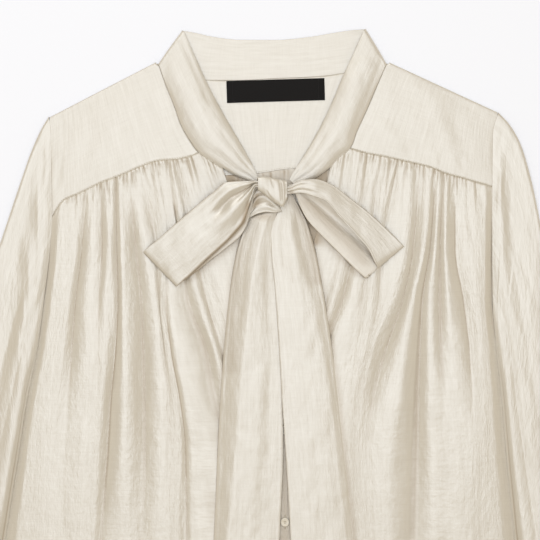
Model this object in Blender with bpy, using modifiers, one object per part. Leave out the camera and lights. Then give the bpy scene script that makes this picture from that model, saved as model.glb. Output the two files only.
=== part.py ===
"""A satin blouse with a bow at its neck, lying face up on a flat surface.

Every piece is a wall of cloth laid over the ones under it: the back and the back
of the yoke lie flat, the fronts and the front of the yoke lie on them, the collar
and the sleeves are flattened rings, and the bow lies on top. Left and right are as
seen from above.

Lengths in the tables are millimetres. x runs to the right from the middle of the
neck, d runs down from the collar's highest point, and z runs up from the surface.
"""

from collections import namedtuple
from math import pi

import bmesh
import bpy
import numpy as np

MM = 0.001

# Driving sizes.
BODY_LENGTH = 707.0  # collar's highest point to hem
LAY_MIDDLE = (-22.0, 354.3)  # x and d of the middle of the garment as it lies
CLOTH = 1.2  # wall of single cloth
DOUBLE = 1.6  # wall of the collar and cuffs, which are doubled
GAP = 0.45  # between pieces at a seam, and between layers
BUTTON_WIDTH = 9.0
BUTTON_THICK = 1.7
BUTTON_X = 10.0
BUTTON_FIRST_D = 311.0
BUTTON_SPACING = 92.0
BUTTON_COUNT = 4
LABEL_SIZE = (98.0, 22.0)
LABEL_MIDDLE = (0.7, 63.4)
LABEL_TURN = 1.7  # degrees
LABEL_THICK = 0.7

BACK_Z = CLOTH / 2  # middle of a wall that lies on the surface
SEAM_Z = BACK_Z + CLOTH + GAP  # middle of a wall that lies on the back

IVORY = (0.80, 0.74, 0.64, 1.0)
BLACK = (0.02, 0.02, 0.02, 1.0)
PEARL = (0.78, 0.71, 0.56, 1.0)


# ---------------------------------------------------------------- shaping tools


def flowing(knots, values, at):
    """Smooth curve through (knot, value) pairs that never overshoots them. values may
    have further axes; at is an array of places."""
    knots = np.asarray(knots, float)
    values = np.asarray(values, float)
    at = np.clip(np.asarray(at, float), knots[0], knots[-1])
    step = np.diff(knots).reshape((-1,) + (1,) * (values.ndim - 1))
    slope = np.diff(values, axis=0) / step
    tangent = np.zeros_like(values)
    before, after = slope[:-1], slope[1:]
    same = before * after > 0
    total = np.where(same, before + after, 1.0)
    tangent[1:-1] = np.where(same, 2 * before * after / total, 0.0)
    tangent[0], tangent[-1] = slope[0], slope[-1]
    i = np.clip(np.searchsorted(knots, at, side="right") - 1, 0, len(knots) - 2)
    shape = at.shape + (1,) * (values.ndim - 1)
    t = ((at - knots[i]) / (knots[i + 1] - knots[i])).reshape(shape)
    h = (knots[i + 1] - knots[i]).reshape(shape)
    return (
        values[i] * (1 + 2 * t) * (1 - t) ** 2
        + tangent[i] * h * t * (1 - t) ** 2
        + values[i + 1] * t * t * (3 - 2 * t)
        - tangent[i + 1] * h * t * t * (1 - t)
    )


def smooth(t):
    """0 before 0, 1 after 1, and an even S between."""
    t = np.clip(t, 0.0, 1.0)
    return t * t * (3 - 2 * t)


def along(points, share):
    """Places on the smooth line through points, at shares of its length from 0 to 1."""
    points = np.asarray(points, float)
    run = np.concatenate([[0], np.cumsum(np.hypot(*np.diff(points[:, :2], axis=0).T))])
    return flowing(run / run[-1], points, share)


def shifted(points, by):
    """The smooth line through points, moved sideways to its right."""
    line = along(points, np.linspace(0, 1, 120))
    run = np.gradient(line, axis=0)
    run /= np.hypot(*run.T)[:, None]
    return line + by * np.stack([-run[:, 1], run[:, 0]], -1)


def x_at(points, d):
    """x of the smooth line through points, where it passes each d."""
    line = along(points, np.linspace(0, 1, 400))
    return np.interp(d, line[:, 1], line[:, 0])


def d_at(points, x):
    """d of the smooth line through points, where it passes each x."""
    line = along(points, np.linspace(0, 1, 400))
    return np.interp(x, line[:, 0], line[:, 1])


def laid(points):
    """Table places (x, d, z) in millimetres as places in the row frame in metres."""
    points = np.asarray(points, float)
    x = points[..., 0] - LAY_MIDDLE[0]
    y = LAY_MIDDLE[1] - points[..., 1]
    return np.stack([x, y, points[..., 2]], axis=-1) * MM


def finish(name, rgba, roughness):
    material = bpy.data.materials.new(name)
    material.use_nodes = True
    surface = material.node_tree.nodes["Principled BSDF"]
    surface.inputs["Base Color"].default_value = rgba
    surface.inputs["Roughness"].default_value = roughness
    surface.inputs["Metallic"].default_value = 0.0
    return material


def cloth(name, points, thick=CLOTH, ring=False, keep=None):
    """A wall of cloth whose middle surface is a grid of table places. A ring's rows are
    closed loops. keep says which quads of the grid are cloth."""
    rows, columns = points.shape[:2]
    mesh = bpy.data.meshes.new(name)
    index = np.arange(rows * columns).reshape(rows, columns)
    right = np.roll(index, -1, axis=1) if ring else index[:, 1:]
    left = index if ring else index[:, :-1]
    quads = np.stack([left[:-1], left[1:], right[1:], right[:-1]], axis=-1)
    if keep is not None:
        quads = quads[keep]
    mesh.from_pydata(laid(points).reshape(-1, 3), [], quads.reshape(-1, 4).tolist())
    body = bmesh.new()
    body.from_mesh(mesh)
    bmesh.ops.delete(body, geom=[v for v in body.verts if not v.link_faces], context="VERTS")
    body.to_mesh(mesh)
    body.free()
    mesh.shade_smooth()
    piece = bpy.data.objects.new(name, mesh)
    piece.data.materials.append(finish(name + "_satin", IVORY, 0.4))
    GARMENT.objects.link(piece)
    wall = piece.modifiers.new("cloth", "SOLIDIFY")
    wall.thickness = thick * MM
    wall.offset = 0.0
    return piece


# ------------------------------------------------------------- outlines (x, d)

# The armhole seams, and below the underarms the side seams.
SIDE_LEFT = [
    (-226, 90), (-224, 106), (-223.5, 160), (-223, 189), (-225, 222), (-231, 272), (-237, 317), (-248, 372),
    (-256, 424), (-270, 512), (-299, 707),
]
SIDE_RIGHT = [
    (223, 85), (217.6, 106), (217, 169), (217, 222), (217.4, 272), (219, 295), (221, 317), (227, 372),
    (231, 422), (240, 512), (259, 707),
]
UNDERARM_D = 317.0
YOKE_SEAM_LEFT = [
    (-223.6, 190.4), (-211.5, 173), (-195, 165.5), (-175, 155.5), (-155, 148), (-137, 140), (-115, 133), (-100, 132),
    (-85, 129), (-76, 125),
]
YOKE_SEAM_RIGHT = [
    (75, 121), (93, 126), (107, 128.5), (125, 132.5), (145, 137), (155, 139.5), (171, 146), (186, 150),
    (201, 154.6), (217.6, 159.2),
]
NECK_LEFT = [
    (-117, 35), (-110, 55), (-100, 80), (-93.5, 98), (-85, 113), (-76, 125), (-62, 135), (-52, 141),
    (-38, 149), (-27, 153), (-19, 155.5),
]
NECK_RIGHT = [
    (112, 35), (102, 58), (89, 88), (82, 103), (75, 121), (64, 130), (54, 141), (40, 151), (26, 156.5),
    (17, 158.5),
]
NECK_BACK = [(-117, 35), (-95, 49), (-70, 53.5), (-49, 54.5), (0, 52), (49, 50), (66, 47.5), (90, 44), (112, 35)]
SEAM_ENDS = (-222.8, 216.8)  # where the front seams of the yoke stop at the armholes
YOKE_SEAM_BACK = [(-223.5, 168), (-120, 152), (-17, 145.8), (18, 141.2), (120, 142), (217, 155)]


# ------------------------------------------------------------------ the yoke


def yoke():
    """One piece from the back seam up to the neck, folded over both shoulders and down
    to the front seams. Rows start at the back seam."""
    neck_columns = 12
    back_rows, turn_rows, front_rows = 4, 3, 6
    top_z = 3.4  # where the front starts at the shoulder
    turn = (top_z - BACK_Z) / 2
    inset = turn + CLOTH / 2

    def seam_shares(seam):
        """Shares of a seam's length at its table places and half way between them."""
        run = np.concatenate([[0], np.cumsum(np.hypot(*np.diff(np.array(seam, float), axis=0).T))])
        return np.sort(np.concatenate([run, (run[1:] + run[:-1]) / 2])) / run[-1]

    def drawn(rows, first, last, share):
        """Rows of places, with their ends drawn onto the lines beside them."""
        first_drift = x_at(first, rows[:, 0, 1]) + GAP / 2 - rows[:, 0, 0]
        last_drift = x_at(last, rows[:, -1, 1]) - GAP / 2 - rows[:, -1, 0]
        rows[..., 0] += first_drift[:, None] * (1 - share) ** 3 + last_drift[:, None] * share**3
        return rows

    left_share, right_share = seam_shares(YOKE_SEAM_LEFT), seam_shares(YOKE_SEAM_RIGHT)
    left_in = np.array([0.45, 0.89])  # square to the shoulder's slope
    right_in = np.array([-0.41, 0.91])
    left_top = np.outer(1 - left_share, (-225.6, 90)) + np.outer(left_share, (-119.5, 35))
    right_top = np.outer(1 - right_share, (114.5, 35)) + np.outer(right_share, (222.6, 85))
    neck_top = along(NECK_BACK, np.linspace(0, 1, neck_columns + 1))
    neck_top[:, 1] += GAP
    top = np.concatenate([left_top + left_in * inset, neck_top[1:-1], right_top + right_in * inset])
    columns = len(top)
    bottom = along(shifted(YOKE_SEAM_BACK, -GAP / 2), np.linspace(0, 1, columns))
    down = np.linspace(0, 1, back_rows + 1)[:, None, None]
    back = drawn(bottom + (top - bottom) * down, SIDE_LEFT, SIDE_RIGHT, np.linspace(0, 1, columns))
    back[-1] = top
    back = np.concatenate([back, np.full(back.shape[:2] + (1,), BACK_Z)], -1)

    into = np.zeros((columns, 2))
    into[: len(left_top)] = left_in
    into[-len(right_top) :] = right_in
    angle = np.linspace(0, pi, turn_rows + 1)[1:, None, None]
    around = top - into * np.sin(angle) * turn
    height = np.broadcast_to(BACK_Z + turn * (1 - np.cos(angle)), around.shape[:2] + (1,))
    around = np.concatenate([around, height], -1)

    down = np.linspace(0, 1, front_rows + 1)[1:, None]
    front = np.repeat(around[-1:], front_rows, axis=0)
    left_side, right_side = slice(0, len(left_top)), slice(columns - len(right_top), columns)
    for side, seam, first, last, share in (
        (left_side, YOKE_SEAM_LEFT, SIDE_LEFT, NECK_LEFT, left_share),
        (right_side, YOKE_SEAM_RIGHT, NECK_RIGHT, SIDE_RIGHT, right_share),
    ):
        end_x = np.clip(along(seam, share)[:, 0], *SEAM_ENDS)
        end = np.stack([end_x, d_at(shifted(seam, -GAP / 2), end_x)], -1)
        flat = drawn(top[side] + (end - top[side]) * down[..., None], first, last, share)
        swell = 1.6 * np.sin(pi * share) ** 0.6 * np.sin(pi * down * 0.85)
        settle = top_z + (2.9 - top_z) * smooth(down) + swell
        front[:, side] = np.concatenate([flat, settle[..., None]], -1)

    points = np.concatenate([back, around, front])
    keep = np.ones((len(points) - 1, columns - 1), bool)
    keep[back_rows:, len(left_top) - 1 : columns - len(right_top)] = False
    return cloth("yoke", points, keep=keep)


# ---------------------------------------------------------------- the fronts

# A row for each fold line of a front, from its outer edge to its opening or back again.
# x: where the line is at the top seam and at each station down the front.
# z: how high the middle of the cloth stands there.
Fold = namedtuple("Fold", "line x z")
STATIONS = (222, 272, 322, 372, 422, 512, 707)

FRONT_LEFT = [
    Fold("side", (-222.8, -224.6, -230.6, -237.6, -248, -256, -270, -299), (2.4, 2.4, 2.4, 2.4, 2.4, 2.4, 2.4, 2.3)),
    Fold("side crest", (-212, -213, -219, -225, -232, -240, -251, -276), (3.4, 7, 7.8, 8, 8, 8, 7.5, 5)),
    Fold("side crest end", (-201, -201, -207, -211, -217, -223, -231, -255), (3.4, 7, 7.5, 8, 8, 8, 7.5, 6)),
    Fold("side trough", (-190, -193, -199, -203, -207, -210, -214, -232), (3.1, 3.8, 3.8, 4.4, 6, 6.5, 6.5, 4.5)),
    Fold("second crest", (-181, -183, -187, -187, -189, -192, -197, -212), (3.4, 7.5, 7.8, 8.2, 8, 7.5, 7, 6)),
    Fold("second trough", (-174, -173, -176, -177, -180, -183, -187, -198), (3.1, 4.8, 6, 7.4, 7.5, 7, 6.5, 5)),
    Fold("third crest", (-169, -166, -170, -171, -174, -178, -182, -192), (3.4, 8, 8, 7.8, 7.2, 6.8, 6.4, 5.6)),
    Fold("deep trough", (-160, -158, -157, -159, -164, -167, -176, -184), (3.1, 3.8, 4.2, 3.6, 3, 3.2, 4.2, 3.8)),
    Fold("long crest", (-155, -153, -152, -150, -151, -153, -154, -166), (3.6, 8.8, 9, 9, 8.6, 8, 7, 6.4)),
    Fold("wide trough", (-146, -143, -139, -138, -137, -136, -138, -150), (3.1, 4, 3.5, 3.4, 3.4, 4.4, 5.4, 4)),
    Fold("tip crest", (-140, -132, -126, -121, -118, -118, -122, -128), (3.5, 6.4, 6.4, 6.4, 6.4, 6.5, 6.5, 6)),
    Fold("tip trough", (-135, -119, -117, -113, -109, -108, -108, -112), (3.1, 4, 5, 5.6, 6, 6, 6, 4.6)),
    Fold("loop crest", (-122, -110, -111, -104, -98, -95, -97, -98), (3.4, 6, 6.9, 7, 7, 6.8, 6.5, 6)),
    Fold("line trough", (-115, -104, -105, -97, -93, -89.5, -88.5, -86), (3.2, 5.4, 5.8, 6, 5.8, 3.8, 3.5, 4)),
    Fold("line crest", (-112, -99, -102, -90, -86, -82, -79, -72), (3.3, 5.6, 5.4, 5.4, 5.8, 6.4, 6.2, 6)),
    Fold("drape trough", (-108, -94, -96, -79, -62, -44, -34, -20), (3.1, 4.2, 3.8, 3.3, 3.2, 3.8, 4.4, 4.3)),
    Fold("drape crest", (-104, -88, -78, -63, -50, -36, -25, -12), (3.4, 6, 6, 5.8, 5.2, 4.8, 4.8, 4.8)),
    Fold("neck trough", (-98, -80, -69, -54, -40, -28, -16, -5), (3.1, 3.8, 3.4, 3.4, 4.3, 4.3, 4.3, 4.4)),
    Fold("neck crest", (-88, -64, -54, -41, -29, -18, -7, 3), (3.5, 5.4, 5.4, 5, 4.6, 4.6, 4.6, 4.8)),
    Fold("edge trough", (-75, -44, -30, -12, 0, 2, 6, 12), (3.2, 4, 4.2, 4.3, 4.3, 4.3, 4.3, 4.4)),
    Fold("opening", (-52.5, -26, -7, 15, 22, 22, 23, 25), (3.6, 3.6, 4, 4.3, 4.3, 4.3, 4.3, 4.4)),
]

FRONT_RIGHT = [
    Fold("opening", (55.5, 37, 20, -1, -4, -4, -3, -2), (3.4, 3, 2.5, 2.3, 2.3, 2.3, 2.3, 2.3)),
    Fold("facing", (64, 48, 36, 20, 24, 26, 27, 30), (3.6, 4.4, 3.4, 2.3, 2.3, 2.3, 2.3, 2.3)),
    Fold("neck trough", (73, 60, 48, 36, 38, 39, 39, 42), (3.1, 3.6, 3.2, 3.2, 3.8, 4, 4, 4)),
    Fold("neck crest", (83, 70, 58, 45, 44, 44, 45, 50), (3.5, 5.6, 5.8, 5, 5, 5, 5, 5)),
    Fold("drape trough", (94, 80, 68, 52, 49, 50, 52, 58), (3.1, 3.8, 3.2, 3.1, 4, 4.4, 4.4, 4)),
    Fold("drape crest", (100, 87, 78, 68, 62, 60, 62, 70), (3.4, 5.8, 6.2, 6.2, 6, 6, 6, 5.8)),
    Fold("shallow trough", (105, 94, 88, 79, 72, 69, 72, 80), (3.1, 4, 4.6, 5, 5.4, 5.6, 5.6, 4.8)),
    Fold("loop crest", (113, 101, 96, 87, 78, 74, 78, 88), (3.4, 6, 6.6, 6.8, 6.6, 6.4, 6.4, 6)),
    Fold("loop trough", (123, 107, 104, 93, 82, 78, 82, 92), (3.1, 3.8, 4.6, 6.2, 6.4, 6.2, 6.2, 5)),
    Fold("tip crest", (136, 128, 118, 99, 87, 83, 90, 101), (3.5, 6.8, 6.8, 7, 6.8, 6.6, 6.6, 6)),
    Fold("wide trough", (145, 138, 128, 114, 100, 93, 98, 110), (3.1, 3.8, 3.6, 3.5, 4.4, 6, 6.2, 4.6)),
    Fold("long crest", (157, 149, 136, 128, 118, 113, 116, 128), (3.6, 8.8, 9, 9, 8.6, 8, 7.6, 6.4)),
    Fold("deep trough", (161, 155, 148, 143, 131, 129, 130, 140), (3.1, 4.6, 4.4, 4, 3, 2.8, 2.8, 3.4)),
    Fold("deep trough end", (163.5, 157.5, 152, 147.5, 147, 148, 149, 160), (3.1, 4.8, 4.2, 3.6, 3.2, 2.8, 2.8, 3.4)),
    Fold("second crest", (166, 160, 156, 155, 156, 158, 160, 172), (3.6, 8, 8, 8, 8, 7.8, 7.4, 6.4)),
    Fold("second trough", (169, 165, 165, 165, 170, 174, 179, 190), (3.1, 4.8, 4.4, 4.4, 6, 7.2, 7, 4.8)),
    Fold("third crest", (173, 170, 172.5, 175, 180, 185, 191, 202), (3.6, 8.6, 8.6, 8.4, 8, 7.8, 7.2, 6)),
    Fold("third trough", (180, 179, 186, 192, 195, 197, 201, 214), (3.1, 4.4, 4, 4.2, 5.8, 7, 6.4, 4.4)),
    Fold("side crest", (195, 196, 200, 204, 204, 204, 207, 224), (3.4, 7, 7.6, 8, 8, 7.8, 7, 6)),
    Fold("side crest end", (207, 208, 209, 212, 213, 214, 220, 240), (3.4, 6.6, 7.4, 7.8, 7.8, 7.4, 7, 5)),
    Fold("side", (216.8, 216.6, 216.6, 221.6, 226.6, 230.6, 240, 259), (2.4, 2.4, 2.4, 2.4, 2.4, 2.4, 2.4, 2.3)),
]

CORNER_X = 75.5  # where the yoke seams meet the neck
FRONT_ROWS = np.array(
    [0, 0.008, 0.02, 0.04, 0.066, 0.098, 0.135, 0.18, 0.23, 0.285, 0.345, 0.41, 0.49, 0.59, 0.7, 0.85, 1]
)
GATHER_RISE = 1.1  # half the height of a gather at the yoke seam
GATHER_FADE = ((0, 5, 13, 34), (0.7, 1.0, 0.8, 0))  # distance below the seam, share of the rise


def front(name, folds, seam, neck, side, edge):
    """A front hangs from its top seam and its neck edge to the hem. Its columns of points
    follow the fold lines, and between two of them the cloth rises and falls as an even
    wave. At the seam every second column stands up, which makes the gathers."""
    start = np.array([f.x[0] for f in folds], float)
    shares = (start - start[0]) / (start[-1] - start[0])
    counts = np.maximum(1, np.round(np.abs(np.diff(start)) / 5.2).astype(int))
    u = np.concatenate([np.linspace(a, b, n, endpoint=False) for a, b, n in zip(shares, shares[1:], counts)])
    u = np.append(u, 1.0)

    top_x = flowing(shares, start, u)
    on_neck = np.abs(top_x) < abs(CORNER_X)
    below_neck, below_seam = shifted(neck, GAP / 2), shifted(seam, GAP / 2)
    top_d = np.where(on_neck, d_at(below_neck, top_x), d_at(below_seam, top_x))
    d = top_d + (BODY_LENGTH - top_d) * FRONT_ROWS[:, None]
    station_x = flowing(shares, np.array([f.x[1:] for f in folds], float), u)
    station_z = flowing(shares, np.array([f.z for f in folds], float), u)
    points = np.zeros(d.shape + (3,))
    points[..., 1] = d
    for j in range(len(u)):
        knots = (top_d[j],) + STATIONS
        points[:, j, 0] = flowing(knots, np.append(top_x[j], station_x[j]), d[:, j])
        points[:, j, 2] = flowing(knots, station_z[j], d[:, j])
    outer = 0 if folds[0].line == "side" else -1
    points[:, outer, 0] = x_at(side, d[:, outer]) + edge
    inner = np.sin(pi * np.linspace(0, 1, len(u))) ** 0.5
    lifted = np.where(np.arange(len(u)) % 2, 1.0, 0.0) * inner
    bulge = np.interp(d - top_d, *GATHER_FADE)
    points[..., 2] += 2 * GATHER_RISE * lifted * bulge
    return cloth(name, points)


def fronts():
    front("front_left", FRONT_LEFT, YOKE_SEAM_LEFT, NECK_LEFT, SIDE_LEFT, GAP / 2)
    front("front_right", FRONT_RIGHT, YOKE_SEAM_RIGHT, NECK_RIGHT[::-1], SIDE_RIGHT, -GAP / 2)


# ------------------------------------------------------------------- the back


def back():
    """Gathered to the yoke across its middle, and flat where it rests."""
    gathers = 22
    gathered = 104.0  # the gathers run this far each side of the middle
    inner = np.linspace(-gathered, gathered, 2 * gathers + 1)
    top_x = np.concatenate([(-223.5, -183, -143), inner, (137, 177, 217)])
    top_d = d_at(YOKE_SEAM_BACK, top_x) + GAP / 2
    down = np.array([0, 0.012, 0.035, 0.08, 0.14, 0.2, 0.27, 0.36, 0.46, 0.6, 0.78, 1.0])[:, None]
    d = top_d + (BODY_LENGTH - top_d) * down
    left = x_at(SIDE_LEFT, d[:, 0]) + GAP / 2
    right = x_at(SIDE_RIGHT, d[:, -1]) - GAP / 2
    share = (top_x - top_x[0]) / (top_x[-1] - top_x[0])
    x = left[:, None] + (right - left)[:, None] * share
    up = np.where(np.abs(top_x) <= gathered, np.arange(len(top_x)) % 2, 0)
    rise = 0.9 * up * np.interp(d - top_d, [0, 6, 18, 45], [0.8, 1.0, 0.6, 0])
    z = BACK_Z + rise
    return cloth("back", np.stack([x, d, z], -1))


# ----------------------------------------------------------------- the sleeves

# A row for each section across a sleeve, from the armhole to the cuff: its outer edge, how
# far down its inner edge touches the body, how high its middle stands above its edges, and
# how closely it follows the armhole.
Section = namedtuple("Section", "outer inner_d rise bow")

SLEEVE_LEFT = [
    Section((-226.2, 90), 317, 0.3, 1.0),
    Section((-233, 101), 325, 4.0, 0.8),
    Section((-243, 123), 337, 5.5, 0.5),
    Section((-256, 160), 356, 6.0, 0.2),
    Section((-272, 208), 385, 6.5, 0),
    Section((-293, 270), 425, 7.0, 0),
    Section((-316, 336), 468, 7.0, 0),
    Section((-340, 405), 514, 7.5, 0),
    Section((-363, 476), 558, 8.0, 0),
    Section((-383, 542), 602, 8.0, 0),
    Section((-395, 596), 636, 7.0, 0),
    Section((-396, 624), 652, 5.0, 0),
    Section((-385, 648), 667, 1.4, 0),
]
SLEEVE_RIGHT = [
    Section((223.2, 85.5), 317, 0.3, 1.0),
    Section((234, 97), 325, 4.0, 0.8),
    Section((245, 116), 338, 5.5, 0.5),
    Section((256, 152), 358, 6.0, 0.2),
    Section((265.5, 197), 388, 6.5, 0),
    Section((278, 256), 430, 7.0, 0),
    Section((292, 322), 473, 7.0, 0),
    Section((307, 392), 516, 7.5, 0),
    Section((323, 466), 560, 8.0, 0),
    Section((339, 538), 602, 8.0, 0),
    Section((351, 596), 636, 7.0, 0),
    Section((352, 624), 652, 5.0, 0),
    Section((342, 648), 661, 1.4, 0),
]
# Long folds of a sleeve: where each lies across it at the armhole and at the cuff, and its height.
SleeveFold = namedtuple("SleeveFold", "head cuff height")
SLEEVE_FOLDS_LEFT = [
    SleeveFold(0.12, 0.16, 0.3), SleeveFold(0.24, 0.30, 0.9), SleeveFold(0.36, 0.42, -2.2),
    SleeveFold(0.50, 0.55, 1.2), SleeveFold(0.62, 0.66, -1.2), SleeveFold(0.76, 0.78, 1.2),
    SleeveFold(0.88, 0.88, 0.3),
]
SLEEVE_FOLDS_RIGHT = [
    SleeveFold(0.12, 0.12, 0.3), SleeveFold(0.25, 0.24, 1.0), SleeveFold(0.38, 0.36, -0.6),
    SleeveFold(0.52, 0.48, 1.0), SleeveFold(0.68, 0.62, -2.2), SleeveFold(0.80, 0.76, 0.8),
    SleeveFold(0.90, 0.88, 0.3),
]
SLEEVE_EDGE_Z = 3.2  # top of the sleeve's rolled edges


def flat_ring(outer, inner, top, slant=(1.0, 1.0), bottom_points=6):
    """One flattened loop across a tube: out along the surface, round the inner edge, back
    over the top through the heights in top, and round the outer edge. slant is the sine of
    the angle between the loop and each edge, so a slanting cut turns over a longer way."""
    outer, inner = np.asarray(outer, float), np.asarray(inner, float)
    across = inner - outer
    turn = (top[0] - BACK_Z) / 2
    turn_out, turn_in = turn / np.hypot(*across) / np.clip(slant, 0.2, 1)
    start, stop = turn_out * 1.5, 1 - turn_in * 1.5
    low = [(s, BACK_Z) for s in np.linspace(start, stop, bottom_points)]
    bend = np.array([pi / 4, pi / 2, 3 * pi / 4])
    inner_turn = [(stop + np.sin(a) * turn_in * 1.5, BACK_Z + turn * (1 - np.cos(a))) for a in bend]
    high = list(zip(np.linspace(stop, start, len(top)), top[::-1]))
    outer_turn = [(start - np.sin(a) * turn_out * 1.5, BACK_Z + turn * (1 - np.cos(a))) for a in bend[::-1]]
    loop = np.array(low + inner_turn + high + outer_turn)
    plan = outer + across * loop[:, :1]
    return np.concatenate([plan, loop[:, 1:]], -1), loop[:, 0]


def sleeve_edges(sections, side, outward):
    """Places of a sleeve's outer and inner edges at its sections."""
    down = np.arange(len(sections)) / (len(sections) - 1)
    outer = np.array([row.outer for row in sections], float)
    inner_d = np.array([row.inner_d for row in sections], float)
    clear = GAP / 2 + (CLOTH / 2 + 0.6) * (down > 0) + 10 * smooth((down - 0.6) / 0.4)
    return down, outer, np.stack([x_at(side, inner_d) + outward * clear, inner_d], -1)


def sleeve(name, sections, folds, side, outward):
    """A flattened tube from the armhole to the cuff. Its first loop lies along the armhole,
    and its inner edge lies beside the body."""
    across = 15
    share = np.linspace(0, 1, across)
    hole = (sections[0].outer[1], UNDERARM_D)
    down, outer, inner = sleeve_edges(sections, side, outward)
    slants = []
    for edge in (outer, inner):
        run, cut = np.gradient(edge, axis=0), inner - outer
        slants.append(np.abs(run[:, 0] * cut[:, 1] - run[:, 1] * cut[:, 0]) / np.hypot(*run.T) / np.hypot(*cut.T))

    rings = []
    for i, row in enumerate(sections):
        spots = [0.0] + [f.head + (f.cuff - f.head) * down[i] for f in folds] + [1.0]
        heights = [0.0] + [f.height for f in folds] + [0.0]
        hump = row.rise * np.sin(pi * share) ** 0.55
        crease = flowing(spots, heights, share) * min(1.0, row.rise / 6)
        gather = 0.8 * (np.arange(across) % 2) * np.sin(pi * share) * smooth((down[i] - 0.8) / 0.12)
        top = SLEEVE_EDGE_Z + hump + crease + gather
        ring, spot = flat_ring(outer[i], inner[i], top, (slants[0][i], slants[1][i]))
        hole_d = hole[0] + (hole[1] - hole[0]) * spot
        hole_x = np.interp(hole_d, hole, x_at(side, hole))
        ring[:, 0] += (x_at(side, hole_d) - hole_x) * row.bow
        if i == 0:
            ring[:, 0] += outward * spot**6  # clear of the body where the fold turns
        rings.append(ring)
    points = np.array(rings)
    if outward > 0:
        points = points[:, ::-1]
    return cloth(name, points, ring=True)


CUFF_DEPTH = 30.0
CUFF_RISE = 1.4  # how far the middle of a cuff stands above its edges


def cuff(name, sections, side, outward):
    """A flattened band at the end of a sleeve."""
    _, outer, inner = sleeve_edges(sections, side, outward)
    outer, inner = outer[-1], inner[-1]
    along_arm = np.array([outer[1] - inner[1], inner[0] - outer[0]]) * -outward
    along_arm /= np.hypot(*along_arm)
    rings = []
    for share, swell in ((0, 1), (0.12, 1.25), (0.5, 1.1), (1, 0.8)):
        shift = along_arm * (GAP + (CUFF_DEPTH - GAP) * share)
        top = SLEEVE_EDGE_Z + 0.4 + CUFF_RISE * swell * np.sin(pi * np.linspace(0, 1, 9)) ** 0.6
        rings.append(flat_ring(outer + shift, inner + shift, top)[0])
    points = np.array(rings)
    points[..., 2] += (DOUBLE - CLOTH) / 2
    if outward > 0:
        points = points[:, ::-1]
    return cloth(name, points, thick=DOUBLE, ring=True)


# ----------------------------------------------------------------- the collar

# A row for each place along the collar: its seam edge, its free edge, and how far it rolls up between.
Band = namedtuple("Band", "seam free roll")

COLLAR_FRONT_LEFT = [
    Band((-19, 155.5, 5.6), (-17, 151, 5.6), 0.2),
    Band((-27, 154, 5), (-20.5, 142.5, 5), 0.8),
    Band((-38, 150.5, 4.4), (-26, 132, 4.4), 2.5),
    Band((-52, 141.5, 4.2), (-35, 116, 4.4), 4.5),
    Band((-74, 127, 4), (-49, 92, 4.4), 5.5),
    Band((-88, 109, 4), (-60, 72, 4.4), 5.5),
    Band((-99, 82, 4.2), (-71, 50, 4.4), 5.0),
    Band((-108.5, 57, 4.4), (-81, 27.5, 4.4), 3.5),
    Band((-115, 39.5, 4.6), (-90.5, 6, 4.6), 1.0),
]
COLLAR_BACK = [
    Band((-114, 36.4, 0.8), (-91, 3.6, 0.8), 0),
    Band((-95, 48.2, 0.8), (-80, 5.5, 0.8), 0),
    Band((-70, 52.7, 0.8), (-62, 9.5, 0.8), 0),
    Band((-35, 53, 0.8), (-35, 12.5, 0.8), 0),
    Band((0, 51.2, 0.8), (0, 12.7, 0.8), 0),
    Band((35, 49.7, 0.8), (35, 9.5, 0.8), 0),
    Band((66, 46.7, 0.8), (62, 5, 0.8), 0),
    Band((90, 42.6, 0.8), (78, 2.8, 0.8), 0),
    Band((109, 36.2, 0.8), (89, 2.0, 0.8), 0),
]
COLLAR_FRONT_RIGHT = [
    Band((110, 39.5, 4.6), (88.5, 4.2, 4.6), 1.0),
    Band((101, 59.5, 4.4), (77.5, 29, 4.4), 3.5),
    Band((91, 84, 4.2), (67, 52, 4.4), 5.0),
    Band((79, 108, 4), (57, 76, 4.4), 5.5),
    Band((65.5, 127.5, 4), (46, 99, 4.4), 5.5),
    Band((54.5, 141.5, 4.2), (35, 119, 4.4), 4.5),
    Band((40, 152, 4.4), (24.5, 136, 4.4), 2.5),
    Band((26, 157, 5), (18, 146, 5), 0.8),
    Band((17, 158, 5.6), (14.5, 153, 5.6), 0.2),
]


def collar():
    """A doubled band that stands round the neck, pressed flat: its back lies on the
    surface, it turns over at both sides, and its fronts run down to the knot."""
    across = np.linspace(0, 1, 7)
    turn_shares = (0.25, 0.5, 0.75)

    def section(band):
        seam, free = np.array(band.seam, float), np.array(band.free, float)
        if seam[2] > BACK_Z + CLOTH:  # the fronts start on the neck edge
            neck, inward = (NECK_LEFT, 1) if seam[0] < 0 else (NECK_RIGHT, -1)
            seam[0] = x_at(neck, seam[1]) + inward * 2 * GAP
        line = seam + (free - seam) * across[:, None]
        line[:, 2] += band.roll * np.sin(pi * across) ** 0.8
        return line

    def turned(first, last, outward):
        """The loops round a side of the neck, between the front and the back."""
        a, b = section(first), section(last)
        radius = np.abs(a[:, 2] - b[:, 2]) / 2
        loops = []
        for share in turn_shares:
            angle = pi * share
            blend = (1 - np.cos(angle)) / 2
            line = a + (b - a) * share
            line[:, 2] = a[:, 2] + (b[:, 2] - a[:, 2]) * blend
            line[:, :2] += np.array(outward) * (np.sin(angle) * radius)[:, None]
            loops.append(line)
        return loops

    rows = [section(b) for b in COLLAR_FRONT_LEFT]
    rows += turned(COLLAR_FRONT_LEFT[-1], COLLAR_BACK[0], (-0.83, -0.55))
    rows += [section(b) for b in COLLAR_BACK]
    rows += turned(COLLAR_BACK[-1], COLLAR_FRONT_RIGHT[0], (0.86, -0.5))
    rows += [section(b) for b in COLLAR_FRONT_RIGHT]
    return cloth("collar", np.array(rows)[:, ::-1], thick=DOUBLE)


# -------------------------------------------------------------------- the bow

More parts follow.
